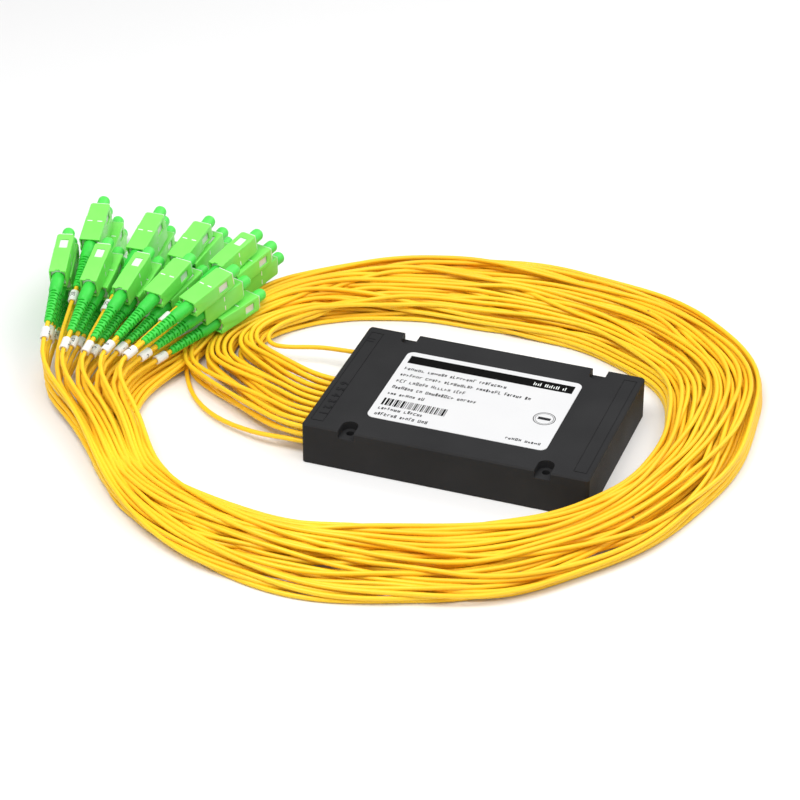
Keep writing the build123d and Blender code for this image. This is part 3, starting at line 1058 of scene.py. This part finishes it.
    def key_rings(self, front: float) -> list[list[Vector]]:
        """Returns the rings of the key under the sleeve.

        Args:
            front: Place of the sleeve's front end.

        Returns:
            Rings from its rear ramp to its front ramp, in metres.
        """
        half, h = self.key_width / 2, self.half_height
        rear_end, front_end = (front - setback for setback in self.key_ends)
        rear_ramp, front_ramp = self.key_ramps
        rings = []
        for x, drop in (
            (rear_end, self.key_foot), (rear_end + rear_ramp, self.key_height),
            (front_end - front_ramp, self.key_height), (front_end, self.key_foot),
        ):
            corners = ((-half, -h + 0.3), (half, -h + 0.3), (half, -h - drop), (-half, -h - drop))
            rings.append([Vector((x, y, z)) * MM for y, z in corners])
        return rings

    def make_index(self) -> Mesh:
        """Builds the two short white lines across the middle of the sleeve's wide side.

        Returns:
            The lines' mesh.
        """
        x = self.boot_length + self.sleeve_length * 0.5
        z = self.half_height + self.index_lift
        near, far = self.index_reach
        bm = bmesh.new()
        for limits in ((-far, -near), (near, far)):
            slab(bm, (x - self.index_half, x + self.index_half), limits, (z - self.index_sink, z))
        return finished_mesh("index_lines", bm)

    def make_cap(self) -> Mesh:
        """Builds the dust cap with its domed end and thin rim.

        Returns:
            The cap's mesh.
        """
        rise, inset = self.cap_rim
        profile = [(self.cap_start, self.cap_radius - inset), (self.cap_start + rise, self.cap_radius)]
        base = self.cap_start + self.cap_length - self.cap_dome
        for step in range(self.cap_steps):
            angle = math.pi / 2 * step / (self.cap_steps - 0.5)
            share = 0.25 + 0.75 * math.cos(angle)
            profile.append((base + self.cap_dome * math.sin(angle), self.cap_radius * share))
        bm = bmesh.new()
        skin(bm, [turned_ring(x, r, self.sides) for x, r in profile])
        return finished_mesh("cap", bm)

    def make_marker(self) -> Mesh:
        """Builds the marker tube with softened ends, from its front at x = 0 backwards.

        Returns:
            The tube's mesh.
        """
        r, bore, length = self.marker_radius, self.marker_bore, self.marker_length
        run, drop = self.marker_edge
        profile = (
            (0.0, r - drop), (-run, r), (-length + run, r),
            (-length, r - drop), (-length, bore), (0.0, bore),
        )
        bm = bmesh.new()
        skin(bm, [turned_ring(x, radius, self.marker_sides) for x, radius in profile], closed=True)
        return finished_mesh("marker", bm)

    def make_digits(self, number: int) -> Mesh:
        """Builds the plain number printed round a marker tube.

        Args:
            number: Number to print.

        Returns:
            The print as a mesh that wraps the tube.
        """
        mesh = figures(f"digits_{number}", number, self.digit_size)
        r = (self.marker_radius + self.print_lift) * MM
        middle = self.marker_length / 2 * MM
        for vertex in mesh.vertices:
            angle = vertex.co.y / r
            vertex.co = Vector((vertex.co.x - middle, r * math.sin(angle), r * math.cos(angle)))
        return mesh

    def lay(self, seats: Sequence[Seat], wardrobe: Wardrobe) -> dict[str, list[Object]]:
        """Lays every connector's pieces in its seat.

        Args:
            seats: Seats of the connectors.
            wardrobe: Source of the finishes.

        Returns:
            The pieces of each connector, by its tag.
        """
        boot, cap = self.make_boot(), self.make_cap()
        sleeve, index, marker = self.make_sleeve(), self.make_index(), self.make_marker()
        laid: dict[str, list[Object]] = {}
        for order, seat in enumerate(seats):
            grip = f"grip_{seat.tag}"
            back = self.marker_setback + self.marker_step * (order % 3)
            digits = self.make_digits(seat.number)
            kit = (
                ("boot", boot, Finish.BOOT, "boot_rubber", "splitter", "connector_boots", 0.0),
                ("cap", cap, Finish.CAP, "cap_plastic", "splitter", "dust_caps", 0.0),
                ("grip_shell", sleeve, Finish.GRIP, "grip_plastic", grip, f"sleeve_{seat.tag}", 0.0),
                ("index_lines", index, Finish.INDEX, None, grip, None, 0.0),
                ("marker", marker, Finish.WHITE, "white_plastic", "splitter", "marker_sleeves", back),
                ("marker_digits", digits, Finish.DARK_INK, None, "splitter", None, back),
            )
            laid[seat.tag] = []
            for name, mesh, finish, slot, body, node, setback in kit:
                piece = add_object(f"{name}_{seat.tag}", mesh)
                piece.matrix_world = seat.matrix @ Matrix.Translation((-setback * MM, 0, 0))
                wardrobe.dress(piece, finish)
                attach(piece, body)
                if node:
                    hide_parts(node)
                laid[seat.tag].append(piece)
            LOG.info("laid the %d pieces of connector %s", len(kit), seat.tag)
        return laid


@dataclass
class CoilBand:
    """The ring between the coil's inner and outer outlines, read as reaches from its centre."""

    centre: Pair = (-28.0, 2.0)
    outer: tuple[Pair, ...] = (
        (-170, -28), (-141, -70), (-112, -101), (-80, -122), (-25, -131), (45, -109), (90, -55), (109, 10),
        (102, 82), (57, 123), (-15, 133), (-80, 119), (-122, 79), (-136, 46), (-146, 12),
    )
    inner: tuple[Pair, ...] = (
        (-128, -26), (-120, -62), (-98, -79), (-45, -91), (12, -79), (51, -57), (72, -25),
        (76, 12), (65, 56), (20, 79), (-45, 79), (-88, 62), (-99, 25),
    )
    soften: int = 8
    half_lead: float = 1.0

    def __post_init__(self) -> None:
        """Works out both reaches for each degree."""
        self.outer_reach = self.reaches(self.outer)
        self.inner_reach = self.reaches(self.inner)

    def reaches(self, outline: Sequence[Pair]) -> np.ndarray:
        """Works out how far an outline lies from the centre.

        Args:
            outline: Corners of the outline in millimetres.

        Returns:
            The softened distance for each of 360 degrees.
        """
        points = np.array(outline, float) - np.array(self.centre)
        far = np.zeros(360)
        tiny = 1e-9
        for a, b in zip(points, np.roll(points, -1, axis=0)):
            side = b - a
            for degree in range(360):
                ray = (math.cos(math.radians(degree)), math.sin(math.radians(degree)))
                cross = ray[0] * side[1] - ray[1] * side[0]
                if abs(cross) < tiny:
                    continue
                reach = (a[0] * side[1] - a[1] * side[0]) / cross
                share = (a[0] * ray[1] - a[1] * ray[0]) / cross
                if reach > 0 and -tiny <= share <= 1 + tiny:
                    far[degree] = reach
        window = range(-self.soften, self.soften + 1)
        return sum(np.roll(far, shift) for shift in window) / len(window)

    def limits(self, angles: np.ndarray) -> tuple[np.ndarray, np.ndarray]:
        """Reads both reaches between the whole degrees.

        Args:
            angles: Directions from the centre in degrees.

        Returns:
            The inner and the outer reach for each angle.
        """
        grid = np.arange(361)
        turn = np.mod(angles, 360.0)
        inner = np.interp(turn, grid, np.append(self.inner_reach, self.inner_reach[0]))
        outer = np.interp(turn, grid, np.append(self.outer_reach, self.outer_reach[0]))
        return inner, outer

    def point(self, angle: float, share: float, height: float) -> Triple:
        """Returns a point of the ring.

        Args:
            angle: Direction from the centre in degrees.
            share: 0 at the inner outline, 1 at the outer one, each half a lead away from it.
            height: Height above the floor.

        Returns:
            The point in millimetres.
        """
        inner, outer = self.limits(np.array([angle]))
        reach = float(inner[0]) + self.half_lead + (float(outer[0] - inner[0]) - 2 * self.half_lead) * share
        a = math.radians(angle)
        return (self.centre[0] + reach * math.cos(a), self.centre[1] + reach * math.sin(a), height)


@dataclass
class Slack:
    """Settles many leads at once: they push each other apart, lie down and keep their sweep."""

    spacing: float = 2.06
    floor: float = 1.0
    ceiling: float = 11.5
    covered: Pair = (-119.0, -109.0)
    covered_ceiling: float = 8.4
    rounds: int = 200
    quick_rounds: int = 60
    refresh: int = 10
    block: int = 400
    neighbours: int = 3
    margin: float = 3.0
    tiny: float = 1e-3
    shove: float = 1.25
    least_weight: float = 0.6
    stiffness: float = 0.22
    relaxing: float = 0.6
    homing: float = 0.004
    sinking: float = 0.05
    rim: float = 0.6
    touch: float = 0.3
    band: CoilBand = field(default_factory=CoilBand)

    def near_pairs(
        self, points: np.ndarray, first: np.ndarray, lead: np.ndarray
    ) -> tuple[np.ndarray, np.ndarray]:
        """Finds runs of the leads that could touch.

        Args:
            points: Every control point.
            first: Index of each run's first point.
            lead: Lead that each run belongs to.

        Returns:
            Indices of both runs of each pair.
        """
        middle = (points[first] + points[first + 1]) / 2
        half = np.linalg.norm(points[first + 1] - points[first], axis=1) / 2
        square = (middle**2).sum(1)
        pairs = [np.empty((0, 2), int)]
        for low in range(0, len(first), self.block):
            rows = slice(low, min(low + self.block, len(first)))
            apart = square[rows, None] + square[None, :] - 2 * middle[rows] @ middle.T
            limit = half[rows, None] + half[None, :] + self.margin
            hit = np.argwhere(apart < limit**2)
            hit[:, 0] += low
            pairs.append(hit)
        found = np.concatenate(pairs)
        a, b = found[:, 0], found[:, 1]
        keep = (a < b) & ((lead[a] != lead[b]) | (np.abs(first[a] - first[b]) > self.neighbours))
        return a[keep], b[keep]

    def contacts(self, points: np.ndarray, a: np.ndarray, b: np.ndarray) -> tuple[np.ndarray, ...]:
        """Finds the nearest places of pairs of runs.

        Args:
            points: Every control point.
            a: First point of one run of each pair.
            b: First point of the other run.

        Returns:
            Share along each run, the way from the second to the first, and its length.
        """
        p, q = points[a], points[b]
        u, v = points[a + 1] - p, points[b + 1] - q
        w = p - q
        uu, vv, uv = (u * u).sum(1), (v * v).sum(1), (u * v).sum(1)
        uw, vw = (u * w).sum(1), (v * w).sum(1)
        lean = np.maximum(uu * vv - uv**2, 1e-6)
        s = np.clip((uv * vw - uw * vv) / lean, 0, 1)
        t = np.clip((uv * s + vw) / vv, 0, 1)
        s = np.clip((uv * t - uw) / uu, 0, 1)
        way = w + u * s[:, None] - v * t[:, None]
        return s, t, way, np.linalg.norm(way, axis=1)

    def push_apart(self, points: np.ndarray, fa: np.ndarray, fb: np.ndarray) -> tuple[np.ndarray, int]:
        """Works out how touching runs push each other away.

        Args:
            points: Every control point.
            fa: First point of one run of each near pair.
            fb: First point of the other run.

        Returns:
            The move of each point, and how many runs are clearly in each other.
        """
        s, t, way, apart = self.contacts(points, fa, fb)
        hit = apart < self.spacing
        s, t, way, apart, fa, fb = s[hit], t[hit], way[hit], apart[hit], fa[hit], fb[hit]
        up = np.array([0.0, 0.0, 1.0])
        way = np.where((apart < self.tiny)[:, None], up, way / np.maximum(apart, self.tiny)[:, None])
        push = way * (0.5 * (self.spacing - apart))[:, None]
        move = np.zeros_like(points)
        share = np.zeros(len(points))
        for index, weight, sign in ((fa, 1 - s, 1), (fa + 1, s, 1), (fb, 1 - t, -1), (fb + 1, t, -1)):
            for axis in range(3):
                move[:, axis] += sign * np.bincount(index, push[:, axis] * weight, len(points))
            share += np.bincount(index, weight, len(points))
        deep = int((apart < self.spacing - self.touch).sum())
        return move / np.maximum(share, self.least_weight)[:, None] * self.shove, deep

    def settle(
        self, routes: list[np.ndarray], held: list[np.ndarray], ringed: list[np.ndarray]
    ) -> list[np.ndarray]:
        """Settles the leads.

        Args:
            routes: Control points of each lead.
            held: For each point, True where it stays where it is.
            ringed: For each point, True where it has to stay in the band.

        Returns:
            The settled control points of each lead.
        """
        points = np.concatenate(routes)
        fixed = np.concatenate(held)
        in_band = np.concatenate(ringed)
        counts = [len(route) for route in routes]
        starts = np.concatenate([[0], np.cumsum(counts)])
        first = np.concatenate([np.arange(s, e - 1) for s, e in zip(starts, starts[1:])])
        lead = np.concatenate([np.full(n - 1, i) for i, n in enumerate(counts)])
        ends = np.zeros(len(points), bool)
        ends[starts[:-1]] = ends[starts[1:] - 1] = True
        inner = np.flatnonzero(~ends)
        home = points.copy()
        sweep = (home[inner - 1] + home[inner + 1]) / 2 - home[inner]
        sweep[:, 2] = 0.0
        loose = (~fixed).astype(float)[:, None]
        rounds = self.rounds
        for step in range(rounds):
            if step % self.refresh == 0:
                a, b = self.near_pairs(points, first, lead)
            late = step / rounds
            move, deep = self.push_apart(points, first[a], first[b])
            points += loose * move
            bend = (points[inner - 1] + points[inner + 1]) / 2 - points[inner] - sweep
            points[inner] += loose[inner] * bend * (self.stiffness * (1 - self.relaxing * late))
            points[:, :2] += loose * self.homing * (home - points)[:, :2]
            points[:, 2] -= loose[:, 0] * self.sinking * (1 - late)
            self.keep_in(points, in_band & ~fixed)
        LOG.info("settled %d points, %d runs touch by over %.1f mm", len(points), deep, self.touch)
        return [points[s:e] for s, e in zip(starts, starts[1:])]

    def keep_in(self, points: np.ndarray, chosen: np.ndarray) -> None:
        """Holds points inside the band, above the floor and under the ceiling or the connectors.

        Args:
            points: Every control point; changed in place.
            chosen: True for the points that the band holds. The floor holds them all.
        """
        points[:, 2] = np.maximum(points[:, 2], self.floor)
        x = points[chosen, 0] - self.band.centre[0]
        y = points[chosen, 1] - self.band.centre[1]
        reach = np.hypot(x, y)
        inner, outer = self.band.limits(np.degrees(np.arctan2(y, x)))
        kept = np.clip(reach, inner + self.rim, outer - self.rim) / reach
        points[chosen, 0] = self.band.centre[0] + x * kept
        points[chosen, 1] = self.band.centre[1] + y * kept
        top = np.interp(points[chosen, 0], self.covered, (self.covered_ceiling, self.ceiling))
        points[chosen, 2] = np.minimum(points[chosen, 2], top)


@dataclass
class LeadCoil:
    """The leads: out of the comb, round a tight loop, nearly twice round the box and up to their boots."""

    diameter: float = 2.0
    length: float = 1.5
    columns: int = 11
    outputs: int = 32
    outlet: float = -60.0
    comb_centre_y: float = -13.0
    comb_pitch_y: float = 4.2
    comb_pitch_z: float = 3.5
    comb_low_z: float = 5.5
    run: float = 9.0
    drift: Pair = (-84.0, 8.0)
    wide_entry: Pair = (-123.0, -3.5)
    tight_entry: Pair = (-99.5, 22.5)
    stray: tuple[Triple, ...] = ((-84.0, -33.0, 1.6), (-104.0, -26.0, 1.1), (-120.0, -12.0, 1.1))
    jitter: float = 0.16
    low_z: float = 1.4
    pitch_z: float = 2.9
    wide_loop: tuple[Pair, ...] = ((-131, 8), (-134, 24), (-128, 45), (-115, 64))
    tight_loop: tuple[Pair, ...] = ((-106, 30), (-108, 39), (-104, 50), (-94, 61))
    joining: Pair = (0.60, 0.48)
    input_route: tuple[Triple, ...] = (
        (-60.0, 31.0, 9.5), (-69.0, 31.0, 9.2), (-81.0, 31.5, 6.0), (-93.0, 28.5, 3.6), (-101.0, 29.0, 3.2),
    )
    input_loop: tuple[Triple, ...] = ((-106.0, 36.0, 4.0), (-104.0, 47.0, 4.0), (-95.0, 59.0, 4.0))
    input_joining: float = 0.12
    input_order: int = 5
    ring_start: float = 134.0
    ring_end: float = -503.0
    ring_step: float = 6.6
    turn_change: float = -180.0
    layers: tuple[float, ...] = (1.2, 3.2, 5.2, 7.2)
    first_turn: tuple[int, ...] = (98, 60, 20, -20, -60, -100)
    second_turn: tuple[int, ...] = (-250, -290, -335, -375, -415)
    wander: float = 0.2
    ease: int = 3
    front: float = -50.0
    inward: float = 1.5
    corner: float = -12.0
    corner_spread: float = 16.0
    parting: float = 0.07
    parted_share: float = 0.78
    fan_base: Pair = (-146.0, -32.0)
    fan_pitch: float = 4.2
    tail_start: Pair = (-127.5, -52.0)
    tail_pitch: float = 3.05
    tail_low_z: float = 1.3
    tail_spacing: float = 2.3
    tail_inset: float = 4.5
    tail_band: float = 31.0
    boot_reach: float = 4.0
    stacks: tuple[int, ...] = (3, 3, 3, 4, 4, 4, 4, 4, 4)
    seed: int = 23
    band: CoilBand = field(default_factory=CoilBand)

    def exit_points(self, place: int, share: float) -> list[Triple]:
        """Returns the route of one output lead from the comb to the loop.

        Args:
            place: Place of the lead in the comb.
            share: 0 where its loop is the widest one, 1 where it is the tightest.

        Returns:
            Points in millimetres.
        """
        row, column = divmod(place, self.columns)
        y = self.comb_centre_y + (column - (self.columns - 1) / 2) * self.comb_pitch_y
        z = self.comb_low_z + row * self.comb_pitch_z
        straight = [(self.outlet, y, z), (self.outlet - self.run, y, z)]
        if place == 0:
            return straight + list(self.stray)
        x, across = (a + (b - a) * share for a, b in zip(self.wide_entry, self.tight_entry))
        low = self.low_z + self.pitch_z * row
        return straight + [(self.drift[0], y + self.drift[1], (z + low) / 2), (x, across, low)]

    def loop_points(self, place: int, share: float) -> list[Triple]:
        """Returns the loop of one output lead, between the widest and the tightest one.

        Args:
            place: Place of the lead in the comb.
            share: 0 for the widest loop, 1 for the tightest.

        Returns:
            Points in millimetres.
        """
        height = self.low_z + self.pitch_z * (place // self.columns)
        pairs = zip(self.wide_loop, self.tight_loop)
        return [(a[0] + (b[0] - a[0]) * share, a[1] + (b[1] - a[1]) * share, height) for a, b in pairs]

    def stack_of(self, order: int) -> tuple[int, int]:
        """Finds a connector's stack in the heap.

        Args:
            order: Place of the connector in the heap, stack by stack.

        Returns:
            Number of its stack, and how many connectors lie under it there.
        """
        stack = 0
        while order >= self.stacks[stack]:
            order -= self.stacks[stack]
            stack += 1
        return stack, order

    def tail_points(self, order: int, seat: Seat) -> list[Triple]:
        """Returns the route of one lead from the coil into its boot.

        Args:
            order: Place of the connector in the heap, stack by stack.
            seat: The connector's seat.

        Returns:
            Points in millimetres.
        """
        stack, tier = self.stack_of(order)
        end = seat.start / MM
        x, y = self.tail_start
        start = (x - self.tail_pitch * stack, y, self.tail_low_z + self.tail_spacing * tier)
        base = Vector((self.fan_base[0] - self.fan_pitch * stack, self.fan_base[1], end.z))
        near = end - seat.ahead * (end - base).length
        return [start, tuple(near), tuple(end), tuple(end + seat.ahead * self.boot_reach)]

    def lanes(
        self, angles: np.ndarray, start: float, first: float, second: float, end: float, rng: random.Random
    ) -> np.ndarray:
        """Works out how far out in the band a lead lies along its turns.

        Args:
            angles: Directions of its ring points in degrees, falling.
            start: Share where it joins the ring.
            first: Share on its first turn.
            second: Share on its second turn.
            end: Share where it leaves the ring.
            rng: Seeded source of its wander.

        Returns:
            The share for each angle, 0 inside to 1 outside.
        """
        wander = [rng.gauss(0.0, self.wander) for _ in range(12)]
        knots = [
            (self.ring_start, start),
            *((angle, first + stray) for angle, stray in zip(self.first_turn, wander)),
            (-135, 0.5 * first + 0.25), (-160, 0.30 + 0.5 * first), (-190, 0.62 + 0.36 * first),
            (-215, 0.55 + 0.42 * second),
            *((angle, second + stray) for angle, stray in zip(self.second_turn, wander[6:])),
            (-450, 0.7 * second + 0.3 * end + 0.5 * wander[11]),
            (-478, 0.25 * second + 0.75 * end), (-502, end),
        ]
        knots.reverse()
        shares = [min(0.99, max(0.01, share)) for _, share in knots]
        between = np.interp(angles, [angle for angle, _ in knots], shares)
        width = 2 * self.ease + 1
        eased = np.convolve(np.pad(between, self.ease, mode="edge"), np.ones(width), "valid") / width
        front = np.maximum(0.0, np.cos(np.radians(angles - self.front)))
        packed = eased ** (1.0 + self.inward * front**2)
        from_corner = np.mod(angles - self.corner + 180.0, 360.0) - 180.0
        beside = np.exp(-((from_corner / self.corner_spread) ** 2))
        return packed + self.parting * beside * np.where(packed > self.parted_share, 1.0, -0.4)

    def routes(self, seats: Sequence[Seat]) -> dict[str, np.ndarray]:
        """Works out and settles every lead's control points.

        Args:
            seats: Seats of the connectors, in the record's order.

        Returns:
            Control points in millimetres, by the connector's tag.
        """
        rng = random.Random(self.seed)
        loose = random.Random(self.seed + 1)
        heap = [seat for seat in seats if seat.tag != "input"]
        heap.insert(self.input_order, next(seat for seat in seats if seat.tag == "input"))
        places = list(range(self.outputs))
        rng.shuffle(places)
        ranks = list(range(len(heap)))
        rng.shuffle(ranks)
        angles = np.arange(self.ring_start, self.ring_end, -self.ring_step)
        raw, held, ringed = [], [], []
        for order, seat in enumerate(heap):
            if seat.tag == "input":
                way_out, loop, start = list(self.input_route), list(self.input_loop), self.input_joining
            else:
                place = places.pop()
                nested = (place % self.columns) / (self.columns - 1)
                nested = min(1.0, max(0.0, nested + loose.uniform(-self.jitter, self.jitter)))
                way_out, loop = self.exit_points(place, nested), self.loop_points(place, nested)
                start = self.joining[0] - self.joining[1] * nested
            first = (ranks[order] + 0.5) / len(heap)
            second = min(0.98, max(0.02, 1.0 - first + rng.uniform(-0.1, 0.1)))
            end = (self.tail_inset + self.tail_pitch * self.stack_of(order)[0]) / self.tail_band
            shares = self.lanes(angles, start, first, second, end, rng)
            early, later = rng.choice(self.layers), rng.choice(self.layers)
            turns = [
                self.band.point(angle, share, early if angle > self.turn_change else later)
                for angle, share in zip(angles, shares)
            ]
            tail = self.tail_points(order, seat)
            route = np.array(way_out + loop + turns + tail, float)
            hold, inside = np.zeros(len(route), bool), np.zeros(len(route), bool)
            hold[:2] = True
            hold[1 - len(tail):] = True
            inside[len(way_out) - 1:-len(tail)] = True
            raw.append(route)
            held.append(hold)
            ringed.append(inside)
        settled_routes = Slack(band=self.band).settle(raw, held, ringed)
        return {seat.tag: route for seat, route in zip(heap, settled_routes)}

    def draw(self, name: str, route: np.ndarray) -> bpy.types.Curve:
        """Draws one lead as a smooth round curve.

        Args:
            name: Name of the curve.
            route: Control points in millimetres.

        Returns:
            The curve.
        """
        curve = bpy.data.curves.new(name, "CURVE")
        curve.dimensions = "3D"
        curve.bevel_depth = self.diameter / 2 * MM
        curve.bevel_resolution = 2
        curve.resolution_u = 4
        curve.use_fill_caps = True
        spline = curve.splines.new("NURBS")
        spline.points.add(len(route) - 1)
        for point, (x, y, z) in zip(spline.points, route):
            point.co = (x * MM, y * MM, z * MM, 1.0)
        spline.order_u = 3
        spline.use_endpoint_u = True
        return curve

    def build(self, seats: Sequence[Seat], pieces: dict[str, list[Object]], wardrobe: Wardrobe) -> None:
        """Args:
            seats: Seats of the connectors.
            pieces: Pieces that lie on each lead, by the connector's tag; not used.
            wardrobe: Source of the finishes.
        """
        lengths = []
        for tag, route in self.routes(seats).items():
            curve = self.draw(f"lead_{tag}", route)
            lead = wardrobe.dress(add_object(f"lead_{tag}", curve), Finish.JACKET)
            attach(lead, "splitter")
            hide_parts("lead_coil", "input_lead" if tag == "input" else "output_leads")
            lengths.append(curve.splines[0].calc_length())
            LOG.info("drew lead_%s, %.3f m long", tag, lengths[-1])
            tuple(route[0] * MM)
        LOG.info("leads from %.3f to %.3f m long", min(lengths), max(lengths))


@dataclass
class Studio:
    """Pale floor, soft lamps and the camera at the photograph's viewing angle."""

    eye: Triple = (319.18, -973.79, 677.43)
    aim: Triple = (-38.254, 16.172, 0.0)
    focal: float = 135.6
    sensor: float = 36.0
    clip: Pair = (0.05, 20.0)
    lamps: tuple[tuple[str, Triple, float, float], ...] = (
        ("key", (-240.0, -380.0, 1000.0), 0.75, 8.3),
        ("fill", (520.0, -260.0, 880.0), 0.8, 3.9),
        ("back", (420.0, 760.0, 900.0), 0.9, 5.1),
    )
    ambient: float = 0.37
    floor_reach: float = 6000.0
    floor_drop: float = 0.2

    def aimed(self, thing: Object, place: Triple) -> None:
        """Puts a lamp or camera in place, turned to the aim.

        Args:
            thing: Lamp or camera.
            place: Its place in millimetres.
        """
        thing.location = Vector(place) * MM
        way = Vector(self.aim) * MM - thing.location
        thing.rotation_euler = way.to_track_quat("-Z", "Y").to_euler()

    def lay_floor(self, wardrobe: Wardrobe) -> None:
        """Lays the floor just under the part.

        Args:
            wardrobe: Source of its finish.
        """
        far, z = self.floor_reach * MM, -self.floor_drop * MM
        corners = ((-far, -far), (far, -far), (far, far), (-far, far))
        bm = bmesh.new()
        bm.faces.new([bm.verts.new((x, y, z)) for x, y in corners])
        floor = wardrobe.dress(add_object("floor", finished_mesh("floor", bm)), Finish.FLOOR)

    def light(self) -> None:
        """Hangs the lamps and gives the world its even light, which the camera sees as white."""
        for name, place, size, power in self.lamps:
            lamp = bpy.data.lights.new(name, "AREA")
            lamp.shape = "DISK"
            lamp.size = size
            lamp.energy = power
            self.aimed(add_object(name, lamp), place)
        graph = Graph(bpy.data.worlds.new("studio"), "BACKGROUND")
        seen = graph.node("ShaderNodeLightPath", output="Is Camera Ray")
        graph.surface(Color=opaque(WHITE), Strength=self.ambient + (1.0 - self.ambient) * seen)
        bpy.context.scene.world = graph.owner

    def build(self, wardrobe: Wardrobe) -> None:
        """Makes the floor, the lamps, the world and the camera.

        Args:
            wardrobe: Source of the floor's finish.
        """
        scene = bpy.context.scene
        scene.view_settings.view_transform = "Standard"
        self.lay_floor(wardrobe)
        self.light()
        lens = bpy.data.cameras.new("camera")
        lens.lens = self.focal
        lens.sensor_width = self.sensor
        lens.clip_start, lens.clip_end = self.clip
        scene.camera = add_object("camera", lens)
        self.aimed(scene.camera, self.eye)
        LOG.info("set up the floor, %d lamps and the camera", len(self.lamps))


def main() -> None:
    """Loads the frame and dresses the box, the connectors and the leads in turn."""
    logging.basicConfig(level=logging.INFO, format="%(name)s: %(message)s")
    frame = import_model()
    wardrobe = Wardrobe()
    Studio().build(wardrobe)
    box = BoxDress()
    box.dress_solids(frame["nodes"], wardrobe)
    box.print_label(wardrobe)
    box.mould_numerals(wardrobe)
    seats = SeatFinder().find(frame)
    pieces = ConnectorKit().lay(seats, wardrobe)
    LeadCoil().build(seats, pieces, wardrobe)


if __name__ == "__main__":
    main()
